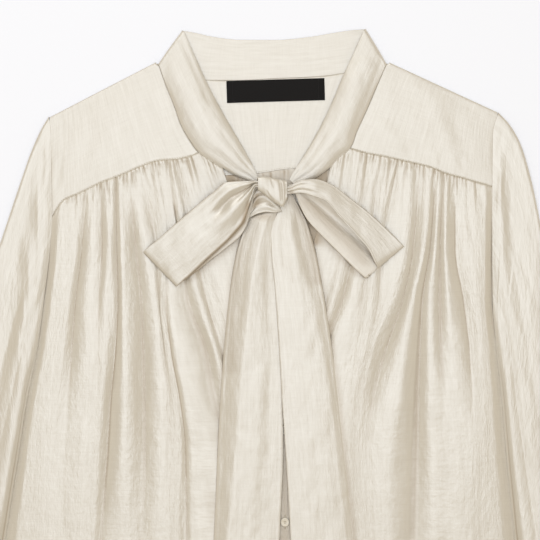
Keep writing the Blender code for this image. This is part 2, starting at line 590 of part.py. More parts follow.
LEFT_LOOP = [
    Band((-10, 155, 17.7), (-10, 161, 17.7), 0),
    Band((-19, 154.4, 17.2), (-19, 160, 17), 0.2),
    Band((-28, 154.6, 18), (-24, 173, 15.5), 1.5),
    Band((-46, 155.5, 18), (-31, 194, 15), 3),
    Band((-63, 167, 16.5), (-45, 211, 14.5), 3.5),
    Band((-92, 191, 14.5), (-68, 232, 13.5), 3.5),
    Band((-115, 211, 12.6), (-84, 247, 12), 2),
    Band((-129.5, 223.2, 11), (-96.5, 257.5, 11), 0.3),
    Band((-131.3, 225.2, 9.9), (-98.3, 259.4, 9.9), 0),
    Band((-129.5, 224, 8.8), (-95.5, 258, 8.8), 0),
    Band((-110, 210, 8.8), (-80, 250, 8.8), 0),
    Band((-88, 191, 9), (-62, 236, 8.8), 0),
    Band((-62, 171, 9.6), (-42, 220, 9.2), 0),
    Band((-42, 162, 10.6), (-30, 203, 10), 0),
    Band((-26, 158, 11.8), (-22.5, 182, 11), 0),
    Band((-20, 156, 12.6), (-19, 162, 12.6), 0),
    Band((-13, 155, 12.8), (-13, 160, 12.8), 0),
]
RIGHT_LOOP = [
    Band((4, 161, 17.6), (4, 168, 17.6), 0),
    Band((14, 159.4, 17.2), (14, 167, 17), 0.2),
    Band((27, 153.6, 17.5), (25, 166, 16.5), 0.8),
    Band((40, 152.8, 17), (37, 169, 17.5), 2),
    Band((55, 157.5, 16), (50, 174, 18), 2),
    Band((73, 170.5, 15), (64, 189.5, 17.5), 2),
    Band((92, 185, 14), (79, 206, 16.5), 2),
    Band((112, 203, 12.6), (93.5, 223, 14.5), 1.5),
    Band((125.5, 216.5, 11.2), (100, 236.5, 12.2), 0.4),
    Band((128.3, 219.5, 9.9), (102, 240.5, 10.5), 0),
    Band((126, 219.5, 8.8), (97, 244.5, 8.8), 0),
    Band((119, 213, 8.8), (87, 245, 8.8), 0),
    Band((108, 203, 8.8), (77, 237, 8.8), 0),
    Band((90, 187, 8.8), (61, 222.5, 9), 0),
    Band((70, 172, 9.2), (44, 206, 9.4), 0),
    Band((52, 161, 10.4), (31, 191, 10.4), 0),
    Band((35, 157, 11.6), (24.5, 178, 11.6), 0),
    Band((20, 158, 12.6), (19.5, 166, 12.6), 0),
    Band((8, 158, 12.8), (8, 164, 12.8), 0),
]
LEFT_TAIL = [
    Band((-13, 168, 5.0), (2, 171, 5.0), 0),
    Band((-19, 181, 4.8), (3, 184, 5), 0.4),
    Band((-28, 195, 6), (0, 200, 6.4), 1),
    Band((-37.5, 222, 7.4), (-1, 226, 7.9), 1.2),
    Band((-43.5, 254, 7.6), (1, 256, 8), 1.2),
    Band((-49, 300, 7.6), (5, 300, 8), 1.2),
    Band((-53.5, 356, 7.6), (8, 356, 8), 1.2),
    Band((-57, 420, 7.6), (8, 420, 8), 1.2),
    Band((-61, 512, 7.6), (4.5, 512, 8), 1.2),
    Band((-65, 580, 7.6), (2, 580, 8), 1.2),
    Band((-67, 632, 7.6), (0, 632, 8), 0.8),
]
RIGHT_TAIL = [
    Band((5, 168, 7.2), (16, 166, 7.2), 0),
    Band((4, 181, 7.2), (24, 180, 6.8), 0.6),
    Band((-1, 194, 8.2), (31.5, 194, 7), 1.5),
    Band((-4.5, 208, 9.4), (36.5, 210, 7.6), 1.8),
    Band((-3.5, 228, 9.8), (41.5, 230, 7.8), 1.6),
    Band((0, 262, 9.8), (47.5, 262, 7.8), 1.4),
    Band((3.5, 312, 9.8), (55.5, 312, 7.8), 1.4),
    Band((7, 372, 9.8), (63.6, 372, 7.8), 1.4),
    Band((11, 430, 9.6), (70, 430, 7.8), 1.2),
    Band((15.6, 512, 9.2), (79, 512, 7.8), 1.2),
    Band((18, 580, 9), (86, 580, 7.8), 1.2),
    Band((20, 640, 9), (90, 640, 7.8), 0.8),
]
TONGUE = [
    Band((-24.5, 186, 8.6), (-26.5, 191, 8.4), 0.2),
    Band((-16.5, 177, 9), (-16.5, 186.5, 9), 0.8),
    Band((-9, 172, 9), (-8, 185, 9.4), 1.4),
    Band((-1, 177, 9), (0, 185.5, 9.4), 1.2),
    Band((5, 181.2, 9), (6.5, 184.2, 9), 0.3),
]
# The knot's sections from left to right: where it is across, and its upper and lower edge.
Wrap = namedtuple("Wrap", "x upper lower")
KNOT = [
    Wrap(-17.0, 149.5, 164.5),
    Wrap(-12.5, 149.3, 167.0),
    Wrap(-5.0, 150.5, 172.5),
    Wrap(2.0, 152.0, 177.5),
    Wrap(7.5, 152.8, 180.5),
    Wrap(12.0, 153.5, 174.0),
]
KNOT_BOTTOM = 8.2
KNOT_TOP = 20.5


def ribbon(name, bands, columns=6):
    """A band of the tie through its sections, from edge to edge."""
    across = np.linspace(0, 1, columns)
    rows = []
    for band in bands:
        seam, free = np.array(band.seam, float), np.array(band.free, float)
        line = seam + (free - seam) * across[:, None]
        line[:, 2] += band.roll * np.sin(pi * across) ** 0.8
        rows.append(line)
    return cloth(name, np.array(rows))


def knot():
    """The band that wraps the middle of the bow: a short tube that the loops run into."""
    angle = np.linspace(0, 2 * pi, 16, endpoint=False)
    middle = (KNOT_TOP + KNOT_BOTTOM) / 2
    rings = []
    for row in KNOT:
        half = (row.lower - row.upper) / 2 - CLOTH / 2
        tall = (KNOT_TOP - KNOT_BOTTOM) / 2 - CLOTH / 2
        d = (row.lower + row.upper) / 2 + half * np.cos(angle)
        rings.append(np.stack([np.full_like(d, row.x), d, middle + tall * np.sin(angle)], -1))
    return cloth("tie_knot", np.array(rings), ring=True)


def bow():
    ribbon("tie_loop_left", LEFT_LOOP)
    ribbon("tie_loop_right", RIGHT_LOOP)
    ribbon("tie_tail_left", LEFT_TAIL)
    ribbon("tie_tail_right", RIGHT_TAIL)
    ribbon("tie_tongue", TONGUE, columns=5)
    knot()


# ------------------------------------------------------- the buttons and label


def buttons():
    """Turned buttons with a raised rim, on the overlap of the fronts."""
    radius, rim = BUTTON_WIDTH / 2, 0.9
    foot = 4.3 + CLOTH / 2 + 0.35
    profile = [
        (radius - 0.4, BUTTON_THICK), (radius, BUTTON_THICK * 0.55), (radius * 0.72, 0), (0, 0),
    ]
    inside = [(radius - rim - 0.5, BUTTON_THICK - 0.5), (radius - rim, BUTTON_THICK - 0.1)]
    outline = [(0, BUTTON_THICK - 0.5)] + inside + profile
    rows = [(r * MM, 0, z * MM) for r, z in outline]
    mesh = bpy.data.meshes.new("button")
    mesh.from_pydata(rows, [(i, i + 1) for i in range(len(rows) - 1)], [])
    mesh.materials.append(finish("button_resin", PEARL, 0.3))
    for number in range(BUTTON_COUNT):
        piece = bpy.data.objects.new(f"button_{number + 1}", mesh)
        GARMENT.objects.link(piece)
        piece.location = laid((BUTTON_X, BUTTON_FIRST_D + BUTTON_SPACING * number, foot))
        turn = piece.modifiers.new("turn", "SCREW")
        turn.steps = turn.render_steps = 14
        turn.use_merge_vertices = True
        turn.merge_threshold = 0.00001


def label():
    """A plain woven label, sewn inside the back of the neck."""
    bpy.ops.mesh.primitive_cube_add(size=1)
    piece = bpy.context.object
    piece.name = piece.data.name = "label"
    for holder in list(piece.users_collection):
        holder.objects.unlink(piece)
    GARMENT.objects.link(piece)
    piece.scale = (LABEL_SIZE[0] * MM, LABEL_SIZE[1] * MM, LABEL_THICK * MM)
    piece.rotation_euler = (0, 0, LABEL_TURN * pi / 180)
    piece.location = laid((*LABEL_MIDDLE, DOUBLE + 0.3 + LABEL_THICK / 2))
    piece.data.materials.append(finish("label_tape", BLACK, 0.7))


for thing in list(bpy.data.objects):
    bpy.data.objects.remove(thing)
GARMENT = bpy.data.collections.new("blouse")
bpy.context.scene.collection.children.link(GARMENT)

back()
yoke()
fronts()
sleeve("sleeve_left", SLEEVE_LEFT, SLEEVE_FOLDS_LEFT, SIDE_LEFT, -1)
sleeve("sleeve_right", SLEEVE_RIGHT, SLEEVE_FOLDS_RIGHT, SIDE_RIGHT, 1)
cuff("cuff_left", SLEEVE_LEFT, SIDE_LEFT, -1)
cuff("cuff_right", SLEEVE_RIGHT, SIDE_RIGHT, 1)
collar()
bow()
label()
buttons()
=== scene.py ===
"""The looks of a satin blouse with a bow at its neck, lying face up on a flat surface.

Each stretch of cloth is a thin shell on the form of its solid, with its gathers, folds
and creases. Lengths in the tables are millimetres: x runs to the right from the middle
of the neck, d runs down from the collar's highest point, z runs up from the surface.
Left and right are as seen from above.
"""

from collections import namedtuple
from math import atan, pi, radians

import bpy
import numpy as np
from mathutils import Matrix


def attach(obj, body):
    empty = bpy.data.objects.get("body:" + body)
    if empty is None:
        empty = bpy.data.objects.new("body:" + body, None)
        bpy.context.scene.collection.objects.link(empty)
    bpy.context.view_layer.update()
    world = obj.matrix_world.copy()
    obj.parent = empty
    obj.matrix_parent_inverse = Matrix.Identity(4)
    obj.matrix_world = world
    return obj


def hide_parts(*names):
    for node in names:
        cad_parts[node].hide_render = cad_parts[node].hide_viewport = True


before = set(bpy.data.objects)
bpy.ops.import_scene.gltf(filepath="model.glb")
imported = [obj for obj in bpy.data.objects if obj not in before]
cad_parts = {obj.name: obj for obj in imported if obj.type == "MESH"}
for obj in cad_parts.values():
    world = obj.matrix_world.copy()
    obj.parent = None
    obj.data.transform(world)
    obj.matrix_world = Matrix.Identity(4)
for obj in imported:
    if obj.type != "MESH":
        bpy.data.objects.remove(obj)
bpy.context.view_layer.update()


# ---------------------------------------------------------------- surface, camera, light
# A pale matt table. The camera looks straight down on the neck and the bow from a long
# way off, and a broad soft light hangs over it, with weaker lights round it.

VIEW_MIDDLE = (0.017, 0.1113)
VIEW_WIDTH = 0.540
CAMERA_HEIGHT = 2.6
CLOTH_LEVEL = 0.004
SENSOR = 36
TABLE_HALF, TABLE_LEVEL = 6.0, -0.0004
# The size, watts and colour of each light from the side.
SIDE_LIGHT = (1.6, 1.2, (0.98, 0.96, 0.94))


def linked(name, data):
    """An object in the scene."""
    thing = bpy.data.objects.new(name, data)
    bpy.context.scene.collection.objects.link(thing)
    return thing


def lamp(name, place, size, watts, colour):
    """A square soft lamp that points at the middle of the view."""
    data = bpy.data.lights.new(name, "AREA")
    data.size, data.energy, data.color = size, watts, colour
    light = linked(name, data)
    light.location = place
    aim = np.array([*VIEW_MIDDLE, 0.0]) - place
    tilt = atan(np.hypot(aim[0], aim[1]) / -aim[2])
    light.rotation_euler = (tilt, 0, np.arctan2(aim[0], -aim[1]) + pi)


mesh = bpy.data.meshes.new("table_top")
square = np.array([(-1, -1), (1, -1), (1, 1), (-1, 1)]) * TABLE_HALF
mesh.from_pydata([(x, y, TABLE_LEVEL) for x, y in square], [], [(0, 1, 2, 3)])
paint = bpy.data.materials.new("table_paint")
paint.use_nodes = True
for socket, value in {
    "Base Color": (0.76, 0.78, 0.86, 1), "Roughness": 0.9, "Specular IOR Level": 0.2,
    "Emission Color": (0.917, 0.95, 0.972, 1), "Emission Strength": 0.3145,
}.items():
    paint.node_tree.nodes["Principled BSDF"].inputs[socket].default_value = value
mesh.materials.append(paint)
linked("table_top", mesh)

optics = bpy.data.cameras.new("camera")
optics.sensor_width = SENSOR
optics.lens = SENSOR * CAMERA_HEIGHT / VIEW_WIDTH
camera = linked("camera", optics)
camera.location = (*VIEW_MIDDLE, CAMERA_HEIGHT + CLOTH_LEVEL)
bpy.context.scene.camera = camera

lamp("top_light", (-0.03, 0.22, 1.9), 1.6, 9.4, (0.76, 0.855, 1.0))
lamp("window", (-0.5, 1.5, 1.4), 1.0, 6.0, (0.86, 0.92, 1.0))
lamp("near_light", (0.0, -2.0, 1.0), *SIDE_LIGHT)
lamp("left_light", (-2.0, 0.0, 1.0), *SIDE_LIGHT)
lamp("right_light", (2.0, 0.0, 1.0), *SIDE_LIGHT)
room = bpy.data.worlds.new("room")
room.use_nodes = True
room.node_tree.nodes["Background"].inputs["Color"].default_value = (1.0, 0.88, 0.69, 1)
room.node_tree.nodes["Background"].inputs["Strength"].default_value = 0.60
bpy.context.scene.world = room
bpy.context.scene.view_settings.view_transform = "Standard"


# ------------------------------------------------------------------------------- back
# One panel of satin, gathered to the yoke across its middle, with long soft folds below.
# It rests flat. Its top shows through the neck opening, and its hem under the fronts.

MM = 0.001
LAY_MIDDLE = (-22.0, 354.3)
BODY_LENGTH = 707.0
BACK_Z, BACK_TOP_Z = 0.6, 1.75
BACK_TOP_X, BACK_GATHERED_HALF, BACK_FULLNESS = (-223.4, 216.9), 108, 1.25
SHELL = 0.8
GAP = 0.45
HEM_TURN = 0.3

SIDE_LEFT = [
    (-226, 90), (-224, 106), (-223.5, 160), (-223, 189), (-225, 222), (-231, 272), (-237, 317),
    (-248, 372), (-256, 424), (-270, 512), (-299, 707),
]
SIDE_RIGHT = [
    (223, 85), (217.6, 106), (217, 169), (217, 222), (217.4, 272), (219, 295), (221, 317),
    (227, 372), (231, 422), (240, 512), (259, 707),
]
YOKE_SEAM_BACK = [(-223.5, 168), (-120, 152), (-17, 145.8), (18, 141.2), (120, 142), (217, 155)]


def flowing(knots, values, at, sharp=False):
    """Smooth curve through (knot, value) pairs that never overshoots them: cubic pieces
    whose slope at a knot is the harmonic mean of the slopes beside it. Where sharp, the
    low points are narrow creases between broad round high points."""
    knots, values = np.asarray(knots, float), np.asarray(values, float)
    at = np.clip(np.asarray(at, float), knots[0], knots[-1])
    slope = np.diff(values, axis=0) / np.diff(knots).reshape((-1,) + (1,) * (values.ndim - 1))
    before, after = slope[:-1], slope[1:]
    same = before * after > 0
    mean = np.where(same, 2 * before * after / np.where(same, before + after, 1.0), 0.0)
    low = sharp & (before < 0) & (after > 0)
    leaving = np.concatenate([slope[:1], np.where(low, after * 1.5, mean)])
    arriving = np.concatenate([np.where(low, before * 1.5, mean), slope[-1:]])
    i = np.clip(np.searchsorted(knots, at, side="right") - 1, 0, len(knots) - 2)
    shape = at.shape + (1,) * (values.ndim - 1)
    h = (knots[i + 1] - knots[i]).reshape(shape)
    t = (at - knots[i]).reshape(shape) / h
    held = values[i] * (1 + 2 * t) * (1 - t) ** 2 + values[i + 1] * t * t * (3 - 2 * t)
    return held + leaving[i] * h * t * (1 - t) ** 2 - arriving[i] * h * t * t * (1 - t)


def smooth(t):
    """0 before 0, 1 after 1, and an even S between."""
    t = np.clip(t, 0.0, 1.0)
    return t * t * (3 - 2 * t)


def bell(t):
    """A bell curve: 1 at 0, and next to nothing past 2."""
    return np.exp(-(t**2))


def arch(t, power):
    """An arch over 0 to 1: a power of a sine, so a small power makes it steep at its ends."""
    return np.sin(pi * t) ** power


def faded(t, start, stop):
    """1 between 0 and 1, after fading in over start and before fading out over stop."""
    return smooth(t / start) * smooth((1 - t) / stop)


def run_of(places):
    """The length of a row of places, from its first to each."""
    return np.append(0, np.cumsum(np.linalg.norm(np.diff(places, axis=0), axis=1)))


def along(points, share):
    """Places on the smooth line through points, at shares of its length from 0 to 1."""
    points = np.asarray(points, float)
    run = run_of(points[:, :2])
    return flowing(run / run[-1], points, share)


def x_at(points, d):
    """x of the smooth line through points, where it passes each d."""
    line = along(points, np.linspace(0, 1, 400))
    return np.interp(d, line[:, 1], line[:, 0])


def d_at(points, x):
    """d of the same line, where it passes each x."""
    return x_at(np.asarray(points, float)[:, ::-1], x)


def rumple(x, d, seed, wide, long):
    """Smooth noise from -1 to 1, in cells of wide by long millimetres: random heights at
    the corners of a lattice, blended with an S curve across each cell."""
    x, d = (x + 500) / wide, (d + 100) / long
    heights = np.random.default_rng(seed).uniform(-1, 1, (int(d.max()) + 3, int(x.max()) + 3))
    i, j = np.floor(d).astype(int), np.floor(x).astype(int)
    s, t = smooth(d - i), smooth(x - j)
    top = heights[i, j] * (1 - t) + heights[i, j + 1] * t
    low = heights[i + 1, j] * (1 - t) + heights[i + 1, j + 1] * t
    return top * (1 - s) + low * s


def gathers(place, below, seed, pitch, height, reach):
    """Little pipes that run down from a seam: the size of a sine along it, so the crests
    are round and the valleys narrow. Each pipe has its own width, height and reach. place
    is the distance along the seam and below the distance from it."""
    chance = np.random.default_rng(seed)
    edges = np.cumsum(pitch * chance.uniform(0.65, 1.4, 400)) + place.min() - pitch * 1.5
    tall, far = chance.uniform(0.45, 1.15, 400), reach * chance.uniform(0.3, 1.5, 400) ** 1.4
    phase = np.interp(place, edges, np.arange(400))
    k = phase.astype(int)
    drawn_in = 0.3 + 0.7 * smooth(below / 1.2)
    pipe = np.abs(np.sin(pi * phase)) ** 0.65
    return height * tall[k] * pipe * drawn_in * np.exp(-((below / far[k]) ** 1.5))


def table(text):
    """Rows of numbers, each with the names that the first line gives its columns."""
    head, *rows = text.split("\n")[1:-1]
    Row = namedtuple("Row", head.split())
    return [Row(*map(float, row.split())) for row in rows]


# A soft crease of the cloth, from one place to another. bend is how far its middle bows
# to the right of the straight line, width half its breadth, and height is up or down.
BACK_CREASES = table("""
x0 d0 x1 d1 bend width height
-100 156 -128 420 4 6 0.8
-84 154 -100 330 -3 5 0.7
-66 152 -82 520 5 7 0.8
-48 150 -54 300 2 5 0.6
-30 148 -36 460 -3 6 0.8
-12 147 -14 350 2 5 0.6
8 145 10 540 3 7 0.8
26 145 30 310 -2 5 0.6
44 146 52 470 3 6 0.8
62 147 72 340 -3 5 0.7
80 148 98 500 4 6 0.8
98 149 118 360 -3 5 0.7
-150 300 -170 640 4 9 0.6
-40 420 -48 690 -4 9 0.6
60 430 74 690 4 9 0.6
140 320 160 650 -4 9 0.6
-200 240 -235 600 3 8 0.5
190 240 205 600 -3 8 0.5
""")


def creased(x, d, creases):
    """The sum of the creases at each place: a bell curve of the distance from the line of
    each crease, which fades in and out along it."""
    height = 0
    for c in creases:
        run_x, run_d = c.x1 - c.x0, c.d1 - c.d0
        length = np.hypot(run_x, run_d)
        t = ((x - c.x0) * run_x + (d - c.d0) * run_d) / length**2
        aside = ((d - c.d0) * run_x - (x - c.x0) * run_d) / length
        aside = aside - c.bend * 4 * np.clip(t, 0, 1) * (1 - np.clip(t, 0, 1))
        height = height + c.height * bell(aside / c.width) * faded(t, 0.3, 0.4)
    return height


# Painted shade, where cloth lies close under another edge and sees little but warm cloth:
# a line down it, how wide the painted shade spreads and how deep it is.
PaintedShade = namedtuple("PaintedShade", "line wide deep")
# Painted shade on the back where it shows through the neck opening and beside the collar.
BACK_SHADES = [
    PaintedShade([(0, 138), (0, 172)], 60, 0.4),
    PaintedShade([(20, 174), (32, 192), (36, 204), (42, 226)], 14, 1.0),
    PaintedShade([(-52, 130), (-46, 148), (-38, 170)], 9, 0.8),
    PaintedShade([(53, 130), (47, 148), (40, 170)], 9, 0.8),
]


def shaded(x, d, shades):
    """The painted shade at each place: a bell curve of the distance across from each line,
    which fades out at the line's ends."""
    deep = 0
    for shade in shades:
        line_x, line_d = np.array(shade.line, float).T
        ends = smooth((d - line_d[0]) / 8) * smooth((line_d[-1] - d) / 8)
        deep = deep + shade.deep * ends * bell((x - np.interp(d, line_d, line_x)) / shade.wide)
    return deep


def hollows(points):
    """How sharply each place of a grid's rows is creased: 0 where the slope turns upwards
    by a sixth or less, and 0.8 where it turns by five sixths or more."""
    run = np.hypot(*np.diff(points[..., :2], axis=1).transpose(2, 0, 1)) + 0.01
    slope = np.clip(np.diff(points[..., 2], axis=1) / run, -3, 3)
    return np.pad(np.clip(np.diff(slope, axis=1) * 1.2 - 0.2, 0, 0.8), ((0, 0), (1, 1)))


def hemmed(cells, axis):
    """A grid whose cells start with a place, with one more line close inside its first and
    last lines along an axis, so the shading turns over the cut edge within the hem turn."""
    for first, second, where in ((0, 1, 1), (-1, -2, -1)):
        a, b = np.take(cells, [first], axis), np.take(cells, [second], axis)
        run = np.linalg.norm((b - a)[..., :3], axis=-1, keepdims=True)
        near = np.minimum(HEM_TURN / np.maximum(run, 0.01), 0.5)
        parts = np.split(cells, [where], axis)
        cells = np.concatenate([parts[0], a + (b - a) * near, parts[1]], axis)
    return cells


def grid(*parts):
    """One array of places or measures from its parts, each spread over the whole grid."""
    return np.stack(np.broadcast_arrays(*parts), -1)


def root_piece(name, places, faces, material, node=None):
    """A mesh of table places as a piece of the one body, in place of its solid if it has one."""
    x, d, z = places.T
    mesh = bpy.data.meshes.new(name)
    mesh.from_pydata((grid(x - LAY_MIDDLE[0], LAY_MIDDLE[1] - d, z) * MM).tolist(), [], faces)
    mesh.shade_smooth()
    mesh.materials.append(material)
    piece = linked(name, mesh)
    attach(piece, "root")
    if node:
        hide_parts(node)
    return piece


def cloth(
    name, node, points, uv, face, reverse=None, ring=False, keep=None, thick=SHELL, rim=1.0,
    shades=(),
):
    """A thin wall of cloth whose middle surface is a grid of table places, with its own
    measure across and along the cloth as UV in metres. A ring's rows are closed loops.
    The crease attribute is painted shade: how deep in a fold, under an edge or at its rim a
    place lies, by which the satin's colour is darkened there."""
    cells = np.concatenate([points, uv], -1)
    for axis in (0,) if ring else (0, 1):
        cells = hemmed(cells, axis)
        if keep is not None:
            first, last = np.take(keep, [0], axis), np.take(keep, [-1], axis)
            keep = np.concatenate([first, keep, last], axis)
    points, uv = cells[..., :3], cells[..., 3:] * MM
    index = np.arange(points[..., 0].size).reshape(points.shape[:2])
    right = np.roll(index, -1, axis=1) if ring else index[:, 1:]
    left = index if ring else index[:, :-1]
    quads = np.stack([left[:-1], left[1:], right[1:], right[:-1]], axis=-1)
    quads = quads.reshape(-1, 4) if keep is None else quads[keep]
    used, quads = np.unique(quads, return_inverse=True)
    quads = quads.reshape(-1, 4)
    piece = root_piece(name, points.reshape(-1, 3)[used], quads.tolist(), face, node)
    layer = piece.data.uv_layers.new(name="cloth")
    layer.data.foreach_set("uv", uv.reshape(-1, 2)[used][quads.ravel()].astype(np.float32).ravel())
    # Painted shade: darker colour in the valleys of folds, and a dark line along the cut edges.
    deep = hollows(points)
    deep[[0, -1]] = 1
    if not ring:
        deep[:, [0, -1]] = rim
    # More painted shade under other pieces' edges, from the shade lines.
    deep = np.clip(deep + shaded(points[..., 0], points[..., 1], shades), 0, 1).ravel()[used]
    crease = piece.data.attributes.new("crease", "FLOAT", "POINT")
    crease.data.foreach_set("value", deep.astype(np.float32))
    wall = piece.modifiers.new("wall", "SOLIDIFY")
    wall.thickness, wall.offset = thick * MM, 0.0
    if reverse:
        piece.data.materials.append(reverse)
        wall.material_offset = 1
    return piece


class Link:
    """A shader socket that adds its Math nodes as Python expressions are written."""

    def __init__(self, finish, socket):
        self.finish, self.socket = finish, socket

    def math(self, operation, other):
        return self.finish.node("Math", {"operation": operation}, {0: self, 1: other})

    def __add__(self, other):
        return self.math("ADD", other)

    def __sub__(self, other):
        return self.math("SUBTRACT", other)

    def __mul__(self, other):
        return self.math("MULTIPLY", other)

    def __rsub__(self, other):
        return self * -1 + other

    __radd__ = __add__
    __rmul__ = __mul__


class Finish:
    """A new material. node adds a shader node from its type, its settings and the values or
    links of its sockets, mix blends two colours, and surface fills the shader's sockets."""

    def __init__(self, name):
        self.material = bpy.data.materials.new(name)
        self.material.use_nodes = True
        self.tree = self.material.node_tree

    def fill(self, node, inputs):
        for key, value in inputs.items():
            if isinstance(value, Link):
                self.tree.links.new(value.socket, node.inputs[key])
            else:
                node.inputs[key].default_value = value

    def node(self, kind, settings, inputs, output=0):
        node = self.tree.nodes.new("ShaderNode" + kind)
        for key, value in settings.items():
            setattr(node, key, value)
        self.fill(node, inputs)
        return Link(self, node.outputs[output])

    def mix(self, factor, low, high):
        return self.node("Mix", {"data_type": "RGBA"}, {"Factor": factor, 6: low, 7: high}, 2)

    def surface(self, inputs):
        self.fill(self.tree.nodes["Principled BSDF"], inputs)
        return self.material


IVORY, IVORY_SHADE = (0.84, 0.81, 0.75, 1), (0.72, 0.685, 0.62, 1)
# The warm tint of the painted shade in folds, under edges and at rims.
PAINTED_SHADE_TINT = (1.22, 0.96, 0.66)


def satin_cloth(name, colour, shade, lustre, gloss, crumple, painted_shade_strength=0.8):
    """Satin with slubs: threads of uneven thickness show as fine streaks down and across
    the cloth, and its sheen is uneven along them. Where the crease attribute is high, its
    colour has painted shade, darker and warmer, by painted_shade_strength."""
    finish = Finish(name)
    uv = finish.node("UVMap", {"uv_map": "cloth"}, {})

    def streaks(across, down, detail, shift):
        """Noise in streaks: cycles in a metre across and down the cloth."""
        scaled = finish.node(
            "Mapping", {"vector_type": "POINT"},
            {"Vector": uv, "Scale": (across, down, 1), "Location": (shift, shift * 2, 0)},
        )
        return finish.node(
            "TexNoise", {"noise_dimensions": "2D"},
            {"Vector": scaled, "Scale": 1.0, "Detail": detail, "Roughness": 0.6},
        )

    warp, weft = streaks(1300, 45, 3, 3.1), streaks(60, 1500, 3, 7.7)
    slub, cross_slub = streaks(320, 22, 3, 11.3), streaks(30, 420, 2, 17.9)
    wrinkle, crush = streaks(150, 60, 3, 23.3), streaks(420, 130, 2, 31.7)
    uneven = warp * 0.3 + weft * 0.2 + slub * 0.35 + cross_slub * 0.15
    tone = finish.mix((uneven - 0.25) * 2.0, shade, colour)
    # Painted shade: the crease attribute mixes the colour towards a darker, warmer copy of the
    # shade colour.
    deep = finish.node("Attribute", {"attribute_name": "crease"}, {}, "Fac")
    dark = (*(0.42 * part * warm for part, warm in zip(shade, PAINTED_SHADE_TINT)), 1)
    relief = warp * 0.4 + weft * 0.35 + slub * 0.6 + cross_slub * 0.2
    relief = relief + wrinkle * (1.2 * crumple) + crush * (0.7 * crumple - 0.35)
    bump = finish.node("Bump", {}, {"Height": relief, "Strength": 0.5, "Distance": 0.00035})
    return finish.surface({
        "Base Color": finish.mix(deep * painted_shade_strength, tone, dark),
        "Roughness": (gloss + 0.08) - uneven * 0.16,
        "Metallic": lustre,
        "Specular IOR Level": 0.5,
        "Sheen Weight": 0.12,
        "Sheen Roughness": 0.4,
        "Sheen Tint": (1.0, 0.96, 0.88, 1),
        "Normal": bump,
    })


satin = satin_cloth("ivory_satin", IVORY, IVORY_SHADE, 0.55, 0.38, 1.0)
# The outside of the back gets little of the painted shade.
satin_outside = satin_cloth("ivory_satin_outside", IVORY, IVORY_SHADE, 0.55, 0.38, 1.4, 0.1)


def back():
    """Rows run down from the seam and columns across, from side to side. Each place is the
    share of the way between the two side seams, raised by the gathers."""
    top_x = np.linspace(*BACK_TOP_X, 230)
    top_d = d_at(YOKE_SEAM_BACK, top_x) + GAP / 2
    down = np.concatenate([np.linspace(0, 0.09, 26), np.linspace(0.1, 1, 60)])[:, None]
    d = top_d + (BODY_LENGTH - top_d) * down
    left, right = x_at(SIDE_LEFT, d[:, :1]) + GAP / 2, x_at(SIDE_RIGHT, d[:, -1:]) - GAP / 2
    x = left + (right - left) * (top_x - top_x[0]) / (top_x[-1] - top_x[0])
    gathered = smooth((BACK_GATHERED_HALF - np.abs(top_x)) / 10)
    z = BACK_Z + gathers(top_x, d - top_d, 5, 3.8, 1.1, 26) * gathered
    z = z + creased(x, d, BACK_CREASES) + 0.12 * (1 + rumple(x, d, 6, 12, 40))
    points, uv = grid(x, d, np.minimum(z, BACK_TOP_Z)), grid(top_x * BACK_FULLNESS, d)
    piece = cloth("back_panel", "back", points, uv, satin, satin_outside, shades=BACK_SHADES)


back()


# ------------------------------------------------------------------------------- yoke
# One piece of satin from the back seam up to the neck, folded over both shoulders and
# down to the front seams. Its edges are turned in and lie over the gathers.

YOKE_SEAM_LEFT = [
    (-223.6, 190.4), (-211.5, 173), (-195, 165.5), (-175, 155.5), (-155, 148), (-137, 140),
    (-115, 133), (-100, 132), (-85, 129), (-76, 125),
]
YOKE_SEAM_RIGHT = [
    (75, 121), (93, 126), (107, 128.5), (125, 132.5), (145, 137), (155, 139.5), (171, 146),
    (186, 150), (201, 154.6), (217.6, 159.2),
]
SEAM_ENDS = (-222.8, 216.8)
NECK_LEFT = [
    (-117, 35), (-110, 55), (-100, 80), (-93.5, 98), (-85, 113), (-76, 125), (-62, 135),
    (-52, 141), (-38, 149), (-27, 153), (-19, 155.5),
]
NECK_RIGHT = [
    (112, 35), (102, 58), (89, 88), (82, 103), (75, 121), (64, 130), (54, 141), (40, 151),
    (26, 156.5), (17, 158.5),
]
NECK_BACK = [
    (-117, 35), (-95, 49), (-70, 53.5), (-49, 54.5), (0, 52), (49, 50), (66, 47.5), (90, 44),
    (112, 35),
]
LEFT_SHOULDER, LEFT_IN = ((-225.8, 90), (-119.5, 35)), np.array([0.45, 0.89])
RIGHT_SHOULDER, RIGHT_IN = ((114.5, 35), (222.8, 85)), np.array([-0.41, 0.91])
SHOULDER_COLUMNS = 64
SHOULDER_TOP_Z, SEAM_TOP_Z = 3.4, 3.1
# How far the yoke's front edges go in under the collar.
UNDER_COLLAR = (0.5, 0)

YOKE_CREASES = table("""
x0 d0 x1 d1 bend width height
-120 60 -200 110 4 9 0.25
-105 78 -150 135 -5 8 -0.3
-100 95 -125 132 3 6 0.3
-180 85 -205 150 -4 8 -0.25
-150 70 -185 150 3 8 0.25
-92 112 -100 131 1 4 -0.25
-108 114 -112 132 0 2.4 0.3
-140 122 -144 140 0 2.8 -0.3
-170 134 -176 155 1 3 0.3
-212 124 -218 170 1 3.4 -0.35
115 50 190 90 -4 9 0.38
103 70 170 135 5 9 -0.45
95 88 128 130 -3 7 0.45
175 75 205 148 4 9 -0.38
150 62 180 138 -3 8 0.38
85 108 92 124 -1 4 -0.38
92 104 100 128 1 2.4 -0.35
104 116 108 130 0 2.2 0.35
130 112 138 134 1 2.8 -0.3
158 122 163 142 0 2.6 0.3
184 126 192 149 1 3 -0.35
""")


